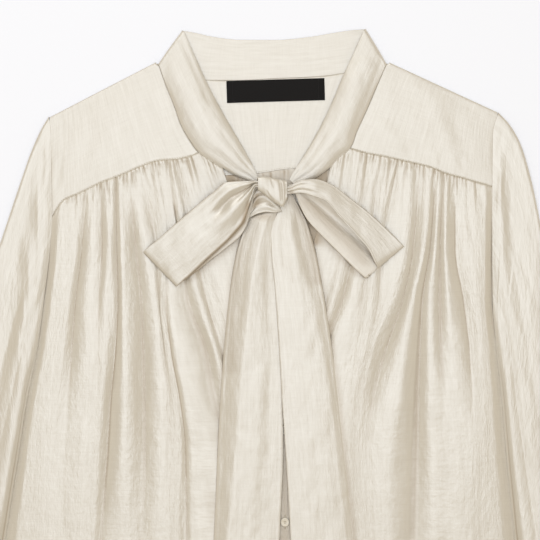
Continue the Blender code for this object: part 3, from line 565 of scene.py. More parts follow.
def shifted(points, by):
    """The smooth line through points, moved sideways to its right."""
    line = along(points, np.linspace(0, 1, 200))
    run = np.gradient(line, axis=0)
    run /= np.hypot(*run.T)[:, None]
    return line + by * np.stack([-run[:, 1], run[:, 0]], -1)


def drawn(rows, first, last, share, gap):
    """Rows of places, with their ends drawn onto the lines beside them."""
    first_drift = x_at(first, rows[:, :1, 1]) + gap - rows[:, :1, 0]
    last_drift = x_at(last, rows[:, -1:, 1]) - gap - rows[:, -1:, 0]
    rows[..., 0] += first_drift * (1 - share) ** 3 + last_drift * share**3
    return rows


def sewing_thread(name, dark, light):
    """Matt thread with a fine twist."""
    finish = Finish(name)
    place = finish.node("TexCoord", {}, {}, "Object")
    twist = finish.node("TexNoise", {}, {"Vector": place, "Scale": 3000.0, "Detail": 2.0})
    return finish.surface({"Base Color": finish.mix(twist, dark, light), "Roughness": 0.6})


thread = sewing_thread("ivory_thread", (0.58, 0.52, 0.42, 1), (0.80, 0.74, 0.63, 1))


def threads(name, strands, wide, high, material=thread):
    """Small lengths of thread, joined in one mesh: each is a lozenge of six faces round and
    three along, from one end to the other of its row in strands."""
    start, stop = strands[:, 0], strands[:, 1]
    run = stop - start
    aside = grid(-run[:, 1], run[:, 0], 0.0)
    aside = aside / np.linalg.norm(aside, axis=1, keepdims=True)
    turn = np.arange(6) * pi / 3
    rings = []
    for share, girth in ((0.0, 0.45), (0.25, 1.0), (0.75, 1.0), (1.0, 0.45)):
        middle = start + run * share - (0, 0, (1 - girth) * high)
        ring = middle[:, None] + aside[:, None] * (wide / 2 * girth * np.cos(turn))[:, None]
        ring[..., 2] += high / 2 * girth * np.sin(turn)
        rings.append(ring)
    faces = []
    for base in range(0, 24 * len(strands), 24):
        for a in (base, base + 6, base + 12):
            faces += [(a + i, a + 6 + i, a + 6 + (i + 1) % 6, a + (i + 1) % 6) for i in range(6)]
        faces += [tuple(range(base, base + 6)), tuple(range(base + 23, base + 17, -1))]
    root_piece(name, np.stack(rings, 1).reshape(-1, 3), faces, material)


def stitches(name, line, pitch=2.6):
    """A row of machine stitches along a line of places: a thread for each pitch, two thirds
    as long, that sits half in the cloth."""
    run = run_of(line)
    at = np.arange(pitch, run[-1] - pitch, pitch)[:, None] + (0, 0.68 * pitch)
    strands = grid(*(np.interp(at, run, part) for part in line.T))
    threads(name, strands + (0, 0, SHELL / 2 + 0.12), 0.36, 0.3)


def yoke():
    """Rows run from the back seam to the neck and shoulders, round the shoulder folds in a
    half circle, and down the front. The fold's radius is half the height of the front."""
    turn = (SHOULDER_TOP_Z - BACK_Z) / 2
    inset = turn + 0.6
    share = np.linspace(0, 1, SHOULDER_COLUMNS)
    neck = along(NECK_BACK, np.linspace(0, 1, 57))[1:-1] - (0, 1.5)
    left_top = np.linspace(*LEFT_SHOULDER, SHOULDER_COLUMNS) + LEFT_IN * inset
    right_top = np.linspace(*RIGHT_SHOULDER, SHOULDER_COLUMNS) + RIGHT_IN * inset
    top = np.concatenate([left_top, neck, right_top])
    across = np.linspace(0, 1, len(top))
    bottom = along(shifted(YOKE_SEAM_BACK, 0.4), across)
    down = np.concatenate([[0, 0.008, 0.016, 0.03], np.linspace(0.06, 1, 34)])[:, None]
    flat = bottom + (top - bottom) * down[..., None]
    flat = drawn(flat, SIDE_LEFT, SIDE_RIGHT, across, 0.15)
    flat[-1] = top
    x, d = flat[..., 0], flat[..., 1]
    soft = 0.25 * (1 + rumple(x, d, 31, 40, 26)) * smooth(down * 6)
    behind = grid(x, d, BACK_Z + 0.75 * bell(down * 22) + soft)

    into = np.zeros((len(top), 2))
    into[:SHOULDER_COLUMNS], into[-SHOULDER_COLUMNS:] = LEFT_IN, RIGHT_IN
    angle = np.linspace(0, pi, 10)[1:, None]
    flat = top - into * (np.sin(angle) * turn)[..., None]
    around = grid(flat[..., 0], flat[..., 1], BACK_Z + turn * (1 - np.cos(angle)))

    down = np.append(np.linspace(0, 0.97, 44)[1:], [0.984, 0.988, 0.994, 1.0])[:, None]
    front = np.repeat(around[-1:], len(down), axis=0)
    for side, seam, first, last in (
        (slice(SHOULDER_COLUMNS), YOKE_SEAM_LEFT, SIDE_LEFT, np.add(NECK_LEFT, UNDER_COLLAR)),
        (
            slice(-SHOULDER_COLUMNS, None), YOKE_SEAM_RIGHT,
            np.subtract(NECK_RIGHT, UNDER_COLLAR), SIDE_RIGHT,
        ),
    ):
        end_x = np.clip(along(seam, share)[:, 0], *SEAM_ENDS)
        end = grid(end_x, d_at(shifted(seam, 0.1), end_x))
        flat = drawn(top[side] + (end - top[side]) * down[..., None], first, last, share, -0.3)
        x, d = flat[..., 0], flat[..., 1]
        z = SHOULDER_TOP_Z + (SEAM_TOP_Z - SHOULDER_TOP_Z) * smooth(down)
        z = z + 1.6 * arch(share, 0.6) * np.sin(pi * down * 0.85)
        z += creased(x, d, YOKE_CREASES)
        z += 0.3 * rumple(x, d, 37, 17, 30) * faded(down, 0.1, 0.125)
        front[:, side] = grid(x, d, z - 0.25 * smooth((down - 0.988) / 0.012))

    points = np.concatenate([behind, around, front])
    keep = np.ones((len(points) - 1, len(top) - 1), bool)
    keep[len(behind) - 1 :, SHOULDER_COLUMNS - 1 : 1 - SHOULDER_COLUMNS] = False
    uv = grid(points[-1, :, 0], run_of(points[:, 20, :2])[:, None])
    piece = cloth("shoulder_yoke", "yoke", points, uv, satin, keep=keep, rim=0.15)
    stitches("yoke_stitches_left", points[-3, 1 : SHOULDER_COLUMNS - 2])
    stitches("yoke_stitches_right", points[-3, 2 - SHOULDER_COLUMNS : -1])
    stitches("yoke_stitches_back", points[2, np.abs(points[2, :, 0]) < 80])


yoke()


# ----------------------------------------------------------------------------- fronts
# Two panels of satin, gathered along the yoke seams and cut away at the neck. Long soft
# folds fall from the gathers, and the left front laps over the right one at the buttons.

STATIONS = (222, 272, 322, 372, 422, 512, 707)
CORNER_X = 75.5
UNDERARM_D = 317.0
ARMHOLE_TUCK, SIDE_INSET, SEAM_TUCK = 0.4, 0.05, 2.2
FRONT_FULLNESS = 1.3


def fold_lines(text):
    """The fold lines of a front, from left to right: the name of each, its x at the seam
    and at each station down the front, and how high the cloth's middle stands there."""
    rows = [row.split("|")[1:] for row in text.split("\n")[1:-1]]
    return np.array([[part.split() for part in row] for row in rows], float)


FRONT_LEFT = fold_lines("""
side | -222.8 -224.6 -230.6 -237.6 -248 -256 -270 -299 | 2.4 2.4 2.4 2.4 2.4 2.4 2.4 2.3
side crest | -216 -217.5 -223 -230 -239.5 -246.5 -258 -285 | 3.4 6.6 7.4 7.6 7.6 7.6 7.2 5
side crest end | -201 -201 -207 -213 -220 -226 -233 -255 | 3.4 7 7.5 8 8 8 7.5 6
side trough | -190 -193 -199 -203 -207 -210 -214 -232 | 3.1 4.6 4.6 5 6.6 7.2 6.9 4.9
second crest | -181 -183 -187 -187 -189 -192 -197 -212 | 3.4 7.5 7.8 8.2 8 7.8 7.3 6
second trough | -174 -173 -176 -177 -180 -183 -187 -198 | 3.1 5.4 6.6 7.6 7.6 7.3 6.9 5
third crest | -169 -166 -170 -171 -174 -178 -182 -192 | 3.4 8 8 8 7.6 7.2 6.8 5.6
deep trough | -160 -158 -157 -159 -164 -167 -174 -182 | 3.1 4.8 5 4.4 3.6 3.6 4.8 4.2
long crest | -155 -153 -152 -151 -151 -152 -153 -166 | 3.6 8.8 9.2 9.2 9 8.4 7.2 6.4
wide trough | -146 -139 -134 -132 -131 -131 -133 -146 | 3.1 4.4 3.8 3.4 3.3 3.6 5.2 4.4
tip crest | -140 -129 -122 -117 -114 -113 -119 -128 | 3.5 6.6 6.8 7.2 7.2 7 6.7 6
tip trough | -135 -119 -116 -111 -107 -106 -108 -112 | 3.1 4.8 5.6 6.4 6.6 6.4 6.2 4.6
loop crest | -122 -110 -114 -109 -100 -95 -97 -98 | 3.4 6 6.9 7.4 7.2 6.8 6.5 6
line trough | -115 -104 -109 -104 -95 -89.5 -88.5 -86 | 3.2 5.4 5.8 6.6 6.2 4.8 4.8 4.4
line crest | -112 -99 -104 -99 -89 -83 -79 -72 | 3.3 5.6 6.6 8.4 8.2 6.8 6.2 6
drape trough | -108 -94 -88 -70 -61 -48 -38 -24 | 3.1 4.6 3.6 2.8 2.8 3.6 4.6 4.5
drape crest | -104 -88 -77 -61 -50 -38 -27 -14 | 3.4 6 6 5.8 4.8 5 5 4.9
neck trough | -98 -80 -69 -54 -40 -28 -16 -5 | 3.1 4.2 3.8 3.7 4.3 4.3 4.3 4.4
neck crest | -88 -64 -54 -41 -29 -18 -7 3 | 3.5 5.4 5.4 5 4.6 4.6 4.6 4.8
edge trough | -75 -44 -30 -12 0 2 6 12 | 3.2 4.2 4.3 4.3 4.3 4.3 4.3 4.4
opening | -52.5 -26 -7 15 22 22 23 25 | 3.6 3.6 4 4.3 4.3 4.3 4.3 4.4
""")
FRONT_RIGHT = fold_lines("""
opening | 55.5 37 20 -1 -4 -4 -3 -2 | 3.4 3 2.5 2.3 2.3 2.3 2.3 2.3
facing | 64 48 36 20 24 26 27 30 | 3.6 4.4 3.4 2.3 2.3 2.3 2.3 2.3
neck trough | 73 60 48 36 38 39 39 42 | 3.1 4.4 3.8 3.2 3.8 4 4 4
neck crest | 83 70 58 45 44 44 45 50 | 3.5 5.6 5.8 5 5 5 5 5
drape trough | 94 80 68 52 49 50 52 58 | 3.1 4.2 3.6 3.3 4 4.4 4.4 4
drape crest | 100 87 78 68 62 60 62 70 | 3.4 5.8 6.2 6.2 6 6 6 5.8
shallow trough | 105 94 88 79 72 69 72 80 | 3.1 4.6 5.2 5.8 6 6 6 5.2
loop crest | 113 101 96 87 78 74 78 88 | 3.4 6 6.6 6.8 6.6 6.4 6.4 6
loop trough | 123 107 104 93 82 78 82 92 | 3.1 4.6 5.4 6.4 6.4 6.2 6.2 5
tip crest | 136 128 116 97 87 83 90 101 | 3.5 6.8 6.8 7 6.8 6.6 6.6 6
wide trough | 145 138 128 111 98 92 97 110 | 3.1 4.4 3.6 3.5 4.8 6 6.3 4.6
long crest | 157 149 138 130 123 117 115 126 | 3.6 8.8 9 9 8.8 8.2 7.6 6.4
deep trough | 161 155 147 144 142 141 139 149 | 3.1 5.4 4.6 3.6 2.7 2.5 2.6 3.4
second crest | 166 160 155.5 156 157.5 159.5 164 176 | 3.6 8 8.2 8.2 8.1 7.8 7.4 6.4
second trough | 169 165 165 166 170 174 179 190 | 3.1 5.8 5.6 6 7.2 7.6 7.4 5.6
third crest | 173 170 173 177 182 186 191 202 | 3.6 8.6 8.6 8.4 8 7.8 7.4 6.2
third trough | 180 180 188 194 197 199 202 214 | 3.1 5.2 5 5.6 7 7.6 7 5.2
side crest | 195 197 202 206 206 206 207 224 | 3.4 7 7.6 8 8 7.8 7.2 6
side crest end | 210.5 210 209.5 213.5 217 220 227 245 | 3.4 6.4 7 7.4 7.2 6.8 6.4 5
side | 216.8 216.6 216.6 221.6 226.6 230.6 240 259 | 2.4 2.4 2.4 2.4 2.4 2.4 2.4 2.3
""")
FRONT_CREASES_LEFT = table("""
x0 d0 x1 d1 bend width height
-168 160 -178 275 4 4.1 0.54
-164 212 -163 325 -2 3.5 0.48
-156 152 -153 430 3 4.1 0.6
-147 158 -132 226 -2 5.4 0.6
-138 150 -119 218 -2 4.3 -0.78
-103 130 -89 186 -2 4.1 -0.78
-89 128 -84 162 -1 3.4 -0.66
-83 128 -74 174 -1 3.5 -0.66
-104 250 -68 322 -6 6.8 -0.84
-81 240 -53 362 -4 6.8 0.72
-72 238 -48 322 -3 5.4 -0.72
-54 222 -49 272 1 9.5 0.6
-96 368 -88 560 3 3 -0.78
-120 420 -128 600 4 8.1 -0.54
-205 300 -222 520 3 8.1 -0.6
-70 420 -62 640 -4 8.1 -0.54
-150 470 -163 690 3 6.8 -0.6
""")
FRONT_CREASES_RIGHT = table("""
x0 d0 x1 d1 bend width height
75 124 64 160 1 5.4 -0.72
85 128 79 164 0 4.1 0.54
95 124 85 182 -2 4.1 -0.78
103 134 90 176 -1 4.1 0.6
107 130 94 176 -1 3.5 -0.66
122 138 109 196 -2 4.6 -0.78
119 134 105 198 -2 4.1 0.54
127 138 116 208 -2 4.6 0.6
138 138 118 298 -6 4.1 0.54
157 150 126 350 -4 5.4 0.54
166 146 153 328 -1 4.6 0.66
169 150 177 338 2 4.6 0.6
174 158 197 322 3 5.4 -0.84
184 152 175 204 -1 4.9 0.78
186 154 192 243 -1 4.1 0.6
190 156 196 233 -1 4.1 -0.78
203 158 206 182 0 3.5 -0.54
123 362 125 500 1 3 -0.78
69 240 55 308 -2 5.4 0.6
73 242 59 302 -1 4.1 -0.6
91 252 74 328 -2 4.3 -0.66
100 460 112 690 -3 6.8 -0.6
165 430 180 640 3 6.8 -0.6
""")
# Painted shade on the fronts: in the gap between the tails, under the loops' lower edges, beside
# the tails' outer edges and in the hollow below the right loop.
FRONT_SHADES_LEFT = [
    PaintedShade([(8, 320), (9, 372), (9.5, 430), (10, 512), (10, 600)], 9, 0.6),
    PaintedShade([(-30, 202), (-45, 219), (-63, 234), (-79, 247), (-97, 260)], 6, 0.45),
    PaintedShade([
        (-19, 181), (-28, 195), (-38, 222), (-44, 254), (-49, 300), (-54, 356), (-57, 420),
        (-61, 512), (-66, 600),
    ], 3, 0.3),
]
FRONT_SHADES_RIGHT = [
    PaintedShade([
        (24, 180), (31, 194), (37, 210), (42, 230), (48, 262), (56, 312), (64, 372), (70, 430),
        (79, 512), (88, 600),
    ], 3, 0.4),
    PaintedShade([(28, 186), (44, 207), (61, 225), (76, 240), (84, 248), (90, 254)], 6, 0.45),
    PaintedShade([(27, 180), (33, 195), (38, 206), (43, 222)], 6, 0.9),
]
satin_crushed = satin_cloth("ivory_satin_crushed", IVORY, IVORY_SHADE, 0.55, 0.36, 2.1)


def steps(marks, pitch):
    """Places from the first mark to the last that take in every mark, about a pitch apart."""
    marks = np.asarray(marks, float)
    counts = np.maximum(1, np.ceil(np.abs(np.diff(marks)) / pitch).astype(int))
    runs = [np.linspace(a, b, n, endpoint=False) for a, b, n in zip(marks, marks[1:], counts)]
    return np.append(np.concatenate(runs), marks[-1])


def front(name, node, folds, seam, neck, side, inward, seed, creases, shades, area):
    """Columns follow the fold lines, and rows run from the seam to the hem. Between two
    fold lines the height is a smooth curve that is round on the crests and sharp in the
    valleys. Gathers, creases and fine rumples are added to it, and the top edge goes on
    under the yoke."""
    line_x, line_z = folds[:, 0], folds[:, 1]
    start = line_x[:, 0]
    place = steps(start, 1.15)
    knots, share = ((at - start[0]) / (start[-1] - start[0]) for at in (start, place))
    on_neck, on_seam = (d_at(shifted(line, 0.2), place) for line in (neck, seam))
    top_d = np.where(np.abs(place) < CORNER_X, on_neck, on_seam)
    down = np.concatenate([
        [0, 0.0007, 0.0015], np.linspace(0.003, 0.09, 30), np.linspace(0.094, 0.45, 78),
        np.linspace(0.457, 1, 70),
    ])[:, None]
    d = top_d + (BODY_LENGTH - top_d) * down
    line_x = flowing(knots, line_x, share)
    line_x[:, 0] = place
    line_z = flowing(knots, line_z, share, sharp=True)
    x, z = np.transpose([
        flowing((top, *STATIONS), grid(at_x, at_z), at_d)
        for top, at_x, at_z, at_d in zip(top_d, line_x, line_z, d.T)
    ], (2, 1, 0))
    outer = 0 if inward > 0 else -1
    edge = np.where(d[:, outer] < UNDERARM_D, -ARMHOLE_TUCK, SIDE_INSET)
    x[:, outer] = x_at(side, d[:, outer]) + inward * edge
    inside = arch(np.linspace(0, 1, len(share)), 0.4)
    below = d - top_d
    pipes = gathers(place, below, seed, 7.6, 1.3, 26)
    pipes = pipes + gathers(place, below, seed + 7, 3.8, 1.45, 10)
    pucker = 0.48 * rumple(place, below, seed + 9, 2.6, 4.2)
    fine = 0.24 * rumple(x, d, seed + 1, 14, 48) + 0.06 * rumple(x, d, seed + 2, 6, 22)
    z = z + 1.1 * smooth(below / 1.2) * bell(below / 40) + 0.5 * creased(x, d, creases)
    z += (pipes + pucker * np.exp(-below / 9) * smooth(below / 1.5)) * inside
    z += fine * inside * smooth(below / 12)
    points = np.concatenate([grid(x[:1], d[:1] - SEAM_TUCK, BACK_TOP_Z), grid(x, d, z)])
    uv = grid(place * FRONT_FULLNESS, points[..., 1])
    piece = cloth(name, node, points, uv, satin_crushed, rim=0.4, shades=shades)
    stitches(name + "_hem_stitches", points[-3, 3:-3], 2.8)
    if outer == 0:
        stitches(name + "_placket_stitches", points[12:-2, -3])
    return points


left_front_places = front(
    "front_left_panel", "front_left", FRONT_LEFT, YOKE_SEAM_LEFT, NECK_LEFT, SIDE_LEFT, 1, 41,
    FRONT_CREASES_LEFT, FRONT_SHADES_LEFT, 0.175,
)
front(
    "front_right_panel", "front_right", FRONT_RIGHT, YOKE_SEAM_RIGHT, NECK_RIGHT[::-1],
    SIDE_RIGHT, -1, 47, FRONT_CREASES_RIGHT, FRONT_SHADES_RIGHT, 0.165,
)


# ---------------------------------------------------------------------------- sleeves
# Full sleeves, each a tube of satin set plain into its armhole and gathered to its
# cuff. They lie flattened beside the body, with soft lengthwise folds.

# A row for each section across a sleeve, from the armhole to the cuff: its outer edge, how
# far down its inner edge touches the body, how high its middle stands above its edges, and
# how closely it follows the armhole.
SLEEVE_LEFT = table("""
x d inner_d rise bow
-226.2 90 317 0.3 1
-233 101 325 1.8 0.8
-243 123 337 3.2 0.5
-256 160 356 4.4 0.2
-272 208 385 5.4 0
-293 270 425 6.2 0
-316 336 468 6.8 0
-340 405 514 7.3 0
-363 476 558 8 0
-383 542 602 8 0
-395 596 636 7 0
-396 624 652 5 0
-385 648 667 1.4 0
""")
SLEEVE_RIGHT = table("""
x d inner_d rise bow
223.2 85.5 317 0.3 1
234 97 325 1.8 0.8
245 116 338 3.2 0.5
256 152 358 4.4 0.2
265.5 197 388 5.4 0
278 256 430 6.2 0
292 322 473 6.8 0
307 392 516 7.3 0
323 466 560 8 0
339 538 602 8 0
351 596 636 7 0
352 624 652 5 0
342 648 661 1.4 0
""")
# Long folds of a sleeve: where each lies across it at the armhole and at the cuff, and its
# height.
SLEEVE_FOLDS_LEFT = table("""
head cuff height
0.16 0.14 0.2
0.34 0.34 0.6
0.52 0.46 -0.4
0.68 0.56 0.5
0.78 0.7 -0.3
0.88 0.84 0.4
""")
SLEEVE_FOLDS_RIGHT = table("""
head cuff height
0.14 0.12 0.2
0.36 0.34 0.5
0.5 0.5 0.1
0.68 0.62 0.6
0.8 0.74 -0.8
0.92 0.9 0.4
""")
SLEEVE_CREASES_LEFT = table("""
x0 d0 x1 d1 bend width height
-229 92 -234 168 1 3.2 -0.8
-224.5 96 -226 160 0 2.6 0.6
-240 112 -249 170 -1 3.6 -0.6
-230 122 -227 150 1 4 -0.5
-236 124 -240 148 1 3.2 -0.4
-241 150 -262 262 3 5 -0.5
-252 262 -272 380 3 5 -0.4
-228 205 -240 300 2 3.4 0.4
-229 250 -243 320 1 3.2 -0.4
-240 290 -258 392 2 4.2 0.4
-246 340 -262 430 1 4.2 -0.4
-300 300 -284 372 -4 6.5 -0.5
-322 372 -276 402 -5 6.5 0.4
-340 430 -290 470 6 7.8 -0.6
-352 470 -300 520 5 6.5 0.5
-300 480 -352 640 4 7.8 -0.84
-330 520 -368 646 3 6.5 0.6
-318 560 -340 655 2 5.2 -0.72
""")
SLEEVE_CREASES_RIGHT = table("""
x0 d0 x1 d1 bend width height
229 86 220.5 138 -1 3 -1
222.5 88 219 122 0 2.4 0.6
228.5 136 222 192 1 3 0.7
239.5 118 239 134 0 2.4 -0.7
233 100 236 132 1 3.4 0.5
226 110 221 132 1 3.4 -0.5
232 122 236 146 1 3.2 -0.5
240 126 247 148 -1 3.2 -0.4
233 150 240 262 1 4 -0.4
242 150 262 222 2 3.6 -0.3
232 206 250 262 2 3.4 0.3
244 232 268 300 -2 3.4 -0.32
232 262 252 322 2 3.6 0.3
254 296 284 372 2 3.8 -0.32
236 322 262 392 -2 3.8 0.3
262 380 296 452 3 4.4 -0.4
250 402 278 470 2 4.4 0.35
320 440 282 500 5 7.8 -0.6
270 480 312 646 -4 7.8 -0.84
296 520 326 646 -3 6.5 0.6
282 560 296 652 -2 5.2 -0.72
""")
# The long step down towards the outside of a sleeve: its upper edge, and how wide and deep
# it is there.
TERRACE_LEFT = table("""
x d wide deep
-228 112 6 0
-230 124 9 2.4
-237 188 13 3.8
-246 243 16 4.6
-251 283 18 4.6
-256 323 20 4.4
-264 393 21 4
-290 500 26 2.8
-330 640 30 0
""")
TERRACE_RIGHT = table("""
x d wide deep
224 100 8 0
225 122 12 2.2
226 170 15 3.4
228 220 15 3
231 262 16 1.6
237 310 18 0.7
250 400 24 0
""")
SLEEVE_EDGE_Z = 3.2
# How far the inner edge stands off the body's side at the cuff.
CUFF_CLEAR = 10.7
# A loop's places along its underside and round each edge, and those over its top.
LOOP_LOW, LOOP_BEND = 14, 5
OVER = slice(LOOP_LOW + LOOP_BEND, -LOOP_BEND)


def sleeve_edges(sections, side, outward):
    """Places of a sleeve's outer and inner edges at its sections."""
    rows = np.array(sections)
    down = np.linspace(0, 1, len(rows))
    clear = GAP / 2 - 0.17 * (down > 0) + CUFF_CLEAR * smooth((down - 0.6) / 0.4)
    return down, rows[:, :2], grid(x_at(side, rows[:, 2]) + outward * clear, rows[:, 2])


def flat_loop(outer, inner, top, slant=(1.0, 1.0)):
    """One flattened loop across a tube: out along the surface, a half circle round the
    inner edge, back over the top through the heights in top, and a half circle round the
    outer edge. slant is the sine of the angle between the loop and each edge, so a slanting
    cut turns over a longer way."""
    across = inner - outer
    turn = (top[0] - BACK_Z) / 2
    turn_out, turn_in = turn / np.hypot(*across) / np.clip(slant, 0.2, 1)
    start, stop = turn_out, 1 - turn_in
    bend = np.linspace(0, pi, LOOP_BEND + 2)[1:-1]
    place = np.concatenate([
        np.linspace(start, stop, LOOP_LOW), stop + np.sin(bend) * turn_in,
        np.linspace(stop, start, len(top)), start - np.sin(bend[::-1]) * turn_out,
    ])
    bend_z = BACK_Z + turn * (1 - np.cos(bend))
    height = np.concatenate([np.full(LOOP_LOW, BACK_Z), bend_z, top[::-1], bend_z[::-1]])
    return grid(*(outer + across * place[:, None]).T, height), place


def sleeve(name, node, sections, folds, side, outward, seed, creases, terrace):
    """Loops from the armhole to the cuff. The first lies along the armhole, and the heights
    over the top are a swell with long folds that are sharp in their valleys."""
    share = np.linspace(0, 1, 62)
    top_side = arch(share, 0.7)
    step_x, step_d, step_wide, step_deep = np.array(terrace).T
    hole = (sections[0].d, UNDERARM_D)
    marks, outer, inner = sleeve_edges(sections, side, outward)
    down = np.concatenate([
        np.linspace(0, 0.2, 40), np.linspace(0.205, 0.88, 110), np.linspace(0.885, 1, 30),
    ])
    cut, slants = inner - outer, []
    for edge in (outer, inner):
        run = np.gradient(edge, axis=0)
        area = np.abs(run[:, 0] * cut[:, 1] - run[:, 1] * cut[:, 0])
        slants.append(area / np.hypot(*run.T) / np.hypot(*cut.T))
    rises = [(row.rise, row.bow) for row in sections]
    rows = flowing(marks, np.column_stack([outer, inner, *slants, rises]), down)
    outer, inner = rows[:, :2], rows[:, 2:4]
    loops = []
    for part, row, to_cuff in zip(down, rows, np.hypot(*(outer - outer[-1]).T)):
        rise, bow = row[6:]
        spots = [0.0] + [fold.head + (fold.cuff - fold.head) * part for fold in folds] + [1.0]
        heights = [0.0] + [fold.height for fold in folds] + [0.0]
        wide = np.hypot(*(row[2:4] - row[:2]))
        edge_rise = min(2.2, 0.4 * rise)
        hump = (1 - np.exp(-wide * share / 40)) * (1 - np.exp(-wide * (1 - share) / 5))
        top = SLEEVE_EDGE_Z + edge_rise + (rise - edge_rise) * hump
        top = top + flowing(spots, heights, share, sharp=True) * min(1.0, rise / 6)
        loop, spot = flat_loop(row[:2], row[2:4], top, row[4:6])
        hole_d = hole[0] + (hole[1] - hole[0]) * spot
        hole_x = np.interp(hole_d, hole, x_at(side, hole))
        loop[:, 0] += (x_at(side, hole_d) - hole_x) * bow
        # The first loop is tucked in under the body's side, but for its foot.
        if part == 0:
            loop[:, 0] += outward * (0.8 * spot**6 - 0.1)
        x, d = loop[:, 0], loop[:, 1]
        lift = gathers(spot * 90, to_cuff, seed, 6.5, 2.4, 40) * smooth(rise)
        fine = 0.22 * rumple(x, d, seed + 1, 16, 50) + 0.07 * rumple(x, d, seed + 2, 6, 16)
        outside = np.clip(outward * (x[:, None] - step_x) / step_wide, 0, 1)
        drop = step_deep * np.sin(pi / 2 * outside)
        drop = np.array([np.interp(at_d, step_d, at) for at_d, at in zip(d, drop)])
        lift = lift + (fine - drop + creased(x, d, creases)) * smooth(part * 12)
        loop[OVER, 2] += top_side * lift[OVER]
        loops.append(loop)
    points = np.array(loops)
    uv = grid(run_of(points[90][:, [0, 2]]), run_of((outer + inner) / 2)[:, None])
    if outward > 0:
        points, uv = points[:, ::-1], uv[:, ::-1]
    piece = cloth(name, node, points, uv, satin_crushed, ring=True)


sleeve(
    "left_sleeve", "sleeve_left", SLEEVE_LEFT, SLEEVE_FOLDS_LEFT, SIDE_LEFT, -1, 53,
    SLEEVE_CREASES_LEFT, TERRACE_LEFT,
)
sleeve(
    "right_sleeve", "sleeve_right", SLEEVE_RIGHT, SLEEVE_FOLDS_RIGHT, SIDE_RIGHT, 1, 59,
    SLEEVE_CREASES_RIGHT, TERRACE_RIGHT,
)


# ------------------------------------------------------------------------------ cuffs
# A straight band of doubled satin on each wrist. The sleeve's gathers are caught in its
# upper edge, and a row of stitches runs along both edges.

CUFF_DEPTH, CUFF_WIDTH = 30.0, 190.0
CUFF_RISE, CUFF_LIFT = 1.4, 0.2
CUFF_ROWS = 26
CUFF_START = GAP * 0.4


def cuff(name, node, sections, side, outward, seed):
    """Flattened loops from the sleeve to the hand, with a little pucker along the seam."""
    _, outer, inner = sleeve_edges(sections, side, outward)
    outer, inner = outer[-1], inner[-1]
    along_arm = np.array([outer[1] - inner[1], inner[0] - outer[0]]) * -outward
    along_arm /= np.hypot(*along_arm)
    share = np.linspace(0, 1, 60)
    loops = []
    for part in np.linspace(0, 1, CUFF_ROWS):
        shift = along_arm * (CUFF_START + (CUFF_DEPTH - CUFF_START) * part)
        swell = flowing((0, 0.12, 0.5, 1), (1, 1.25, 1.1, 0.8), part)
        top = SLEEVE_EDGE_Z + 0.4 + CUFF_RISE * swell * arch(share, 0.6)
        loop, spot = flat_loop(outer + shift, inner + shift, top)
        pucker = gathers(spot[OVER] * 90, CUFF_DEPTH * part, seed, 5.5, 0.5, 9)
        fine = 0.22 * rumple(loop[OVER, 0], loop[OVER, 1], seed + 1, 14, 9)
        pressed = 0.35 * (bell((part - 0.1) / 0.035) + bell((part - 0.92) / 0.035))
        loop[OVER, 2] += (pucker + fine - pressed) * arch(share, 0.7)
        loops.append(loop + (0, 0, CUFF_LIFT))
    points = np.array(loops)
    for place, row in (("upper", 3), ("lower", 23)):
        stitches(f"{name}_{place}_stitches", points[row, OVER][3:-3], 2.4)
    if outward > 0:
        points = points[:, ::-1]
    across = np.linspace(0, CUFF_WIDTH, points.shape[1])
    uv = grid(across, np.linspace(0, CUFF_DEPTH, CUFF_ROWS)[:, None])
    piece = cloth(name, node, points, uv, satin, ring=True, thick=1.1)


cuff("left_cuff", "cuff_left", SLEEVE_LEFT, SIDE_LEFT, -1, 61)
cuff("right_cuff", "cuff_right", SLEEVE_RIGHT, SIDE_RIGHT, 1, 67)


# ----------------------------------------------------------------------------- collar
# A tall soft band of doubled satin that stands round the neck. It is turned over in
# front into rounded rolls, which are drawn together at the knot.

# A row for each place along the collar: its seam edge, its free edge, and how far it rolls
# up between.
COLLAR_FRONT_LEFT = table("""
seam_x seam_d seam_z free_x free_d free_z roll
-19 155.5 5.6 -17 151 5.6 0.2
-27 154 5 -20.5 142.5 5 0.8
-38 150.5 4.4 -26 132 4.4 2.5
-52 141.5 4.2 -35 116 4.4 4.5
-74 127 4 -49 92 4.4 5.5
-88 109 4 -60 72 4.4 5.5
-99 82 4.2 -71 50 4.4 5
-108.5 57 4.4 -81 27.5 4.4 3.5
-115 39.5 4.6 -90.5 6 4.6 1
""")
COLLAR_BACK = table("""
seam_x seam_d seam_z free_x free_d free_z roll
-114 36.4 0.8 -91 3.6 0.8 0
-95 48.2 0.8 -80 5.5 0.8 0
-70 52.7 0.8 -62 9.5 0.8 0
-35 53 0.8 -35 12.5 0.8 0
0 51.2 0.8 0 12.7 0.8 0
35 49.7 0.8 35 9.5 0.8 0
66 46.7 0.8 62 5 0.8 0
90 42.6 0.8 78 2.8 0.8 0
109 36.2 0.8 89 2 0.8 0
""")
COLLAR_FRONT_RIGHT = table("""
seam_x seam_d seam_z free_x free_d free_z roll
110 39.5 4.6 88.5 4.2 4.6 1
101 59.5 4.4 77.5 29 4.4 3.5
91 84 4.2 67 52 4.4 5
79 108 4 57 76 4.4 5.5
65.5 127.5 4 46 99 4.4 5.5
54.5 141.5 4.2 35 119 4.4 4.5
40 152 4.4 24.5 136 4.4 2.5
26 157 5 18 146 5 0.8
17 158 5.6 14.5 153 5.6 0.2
""")
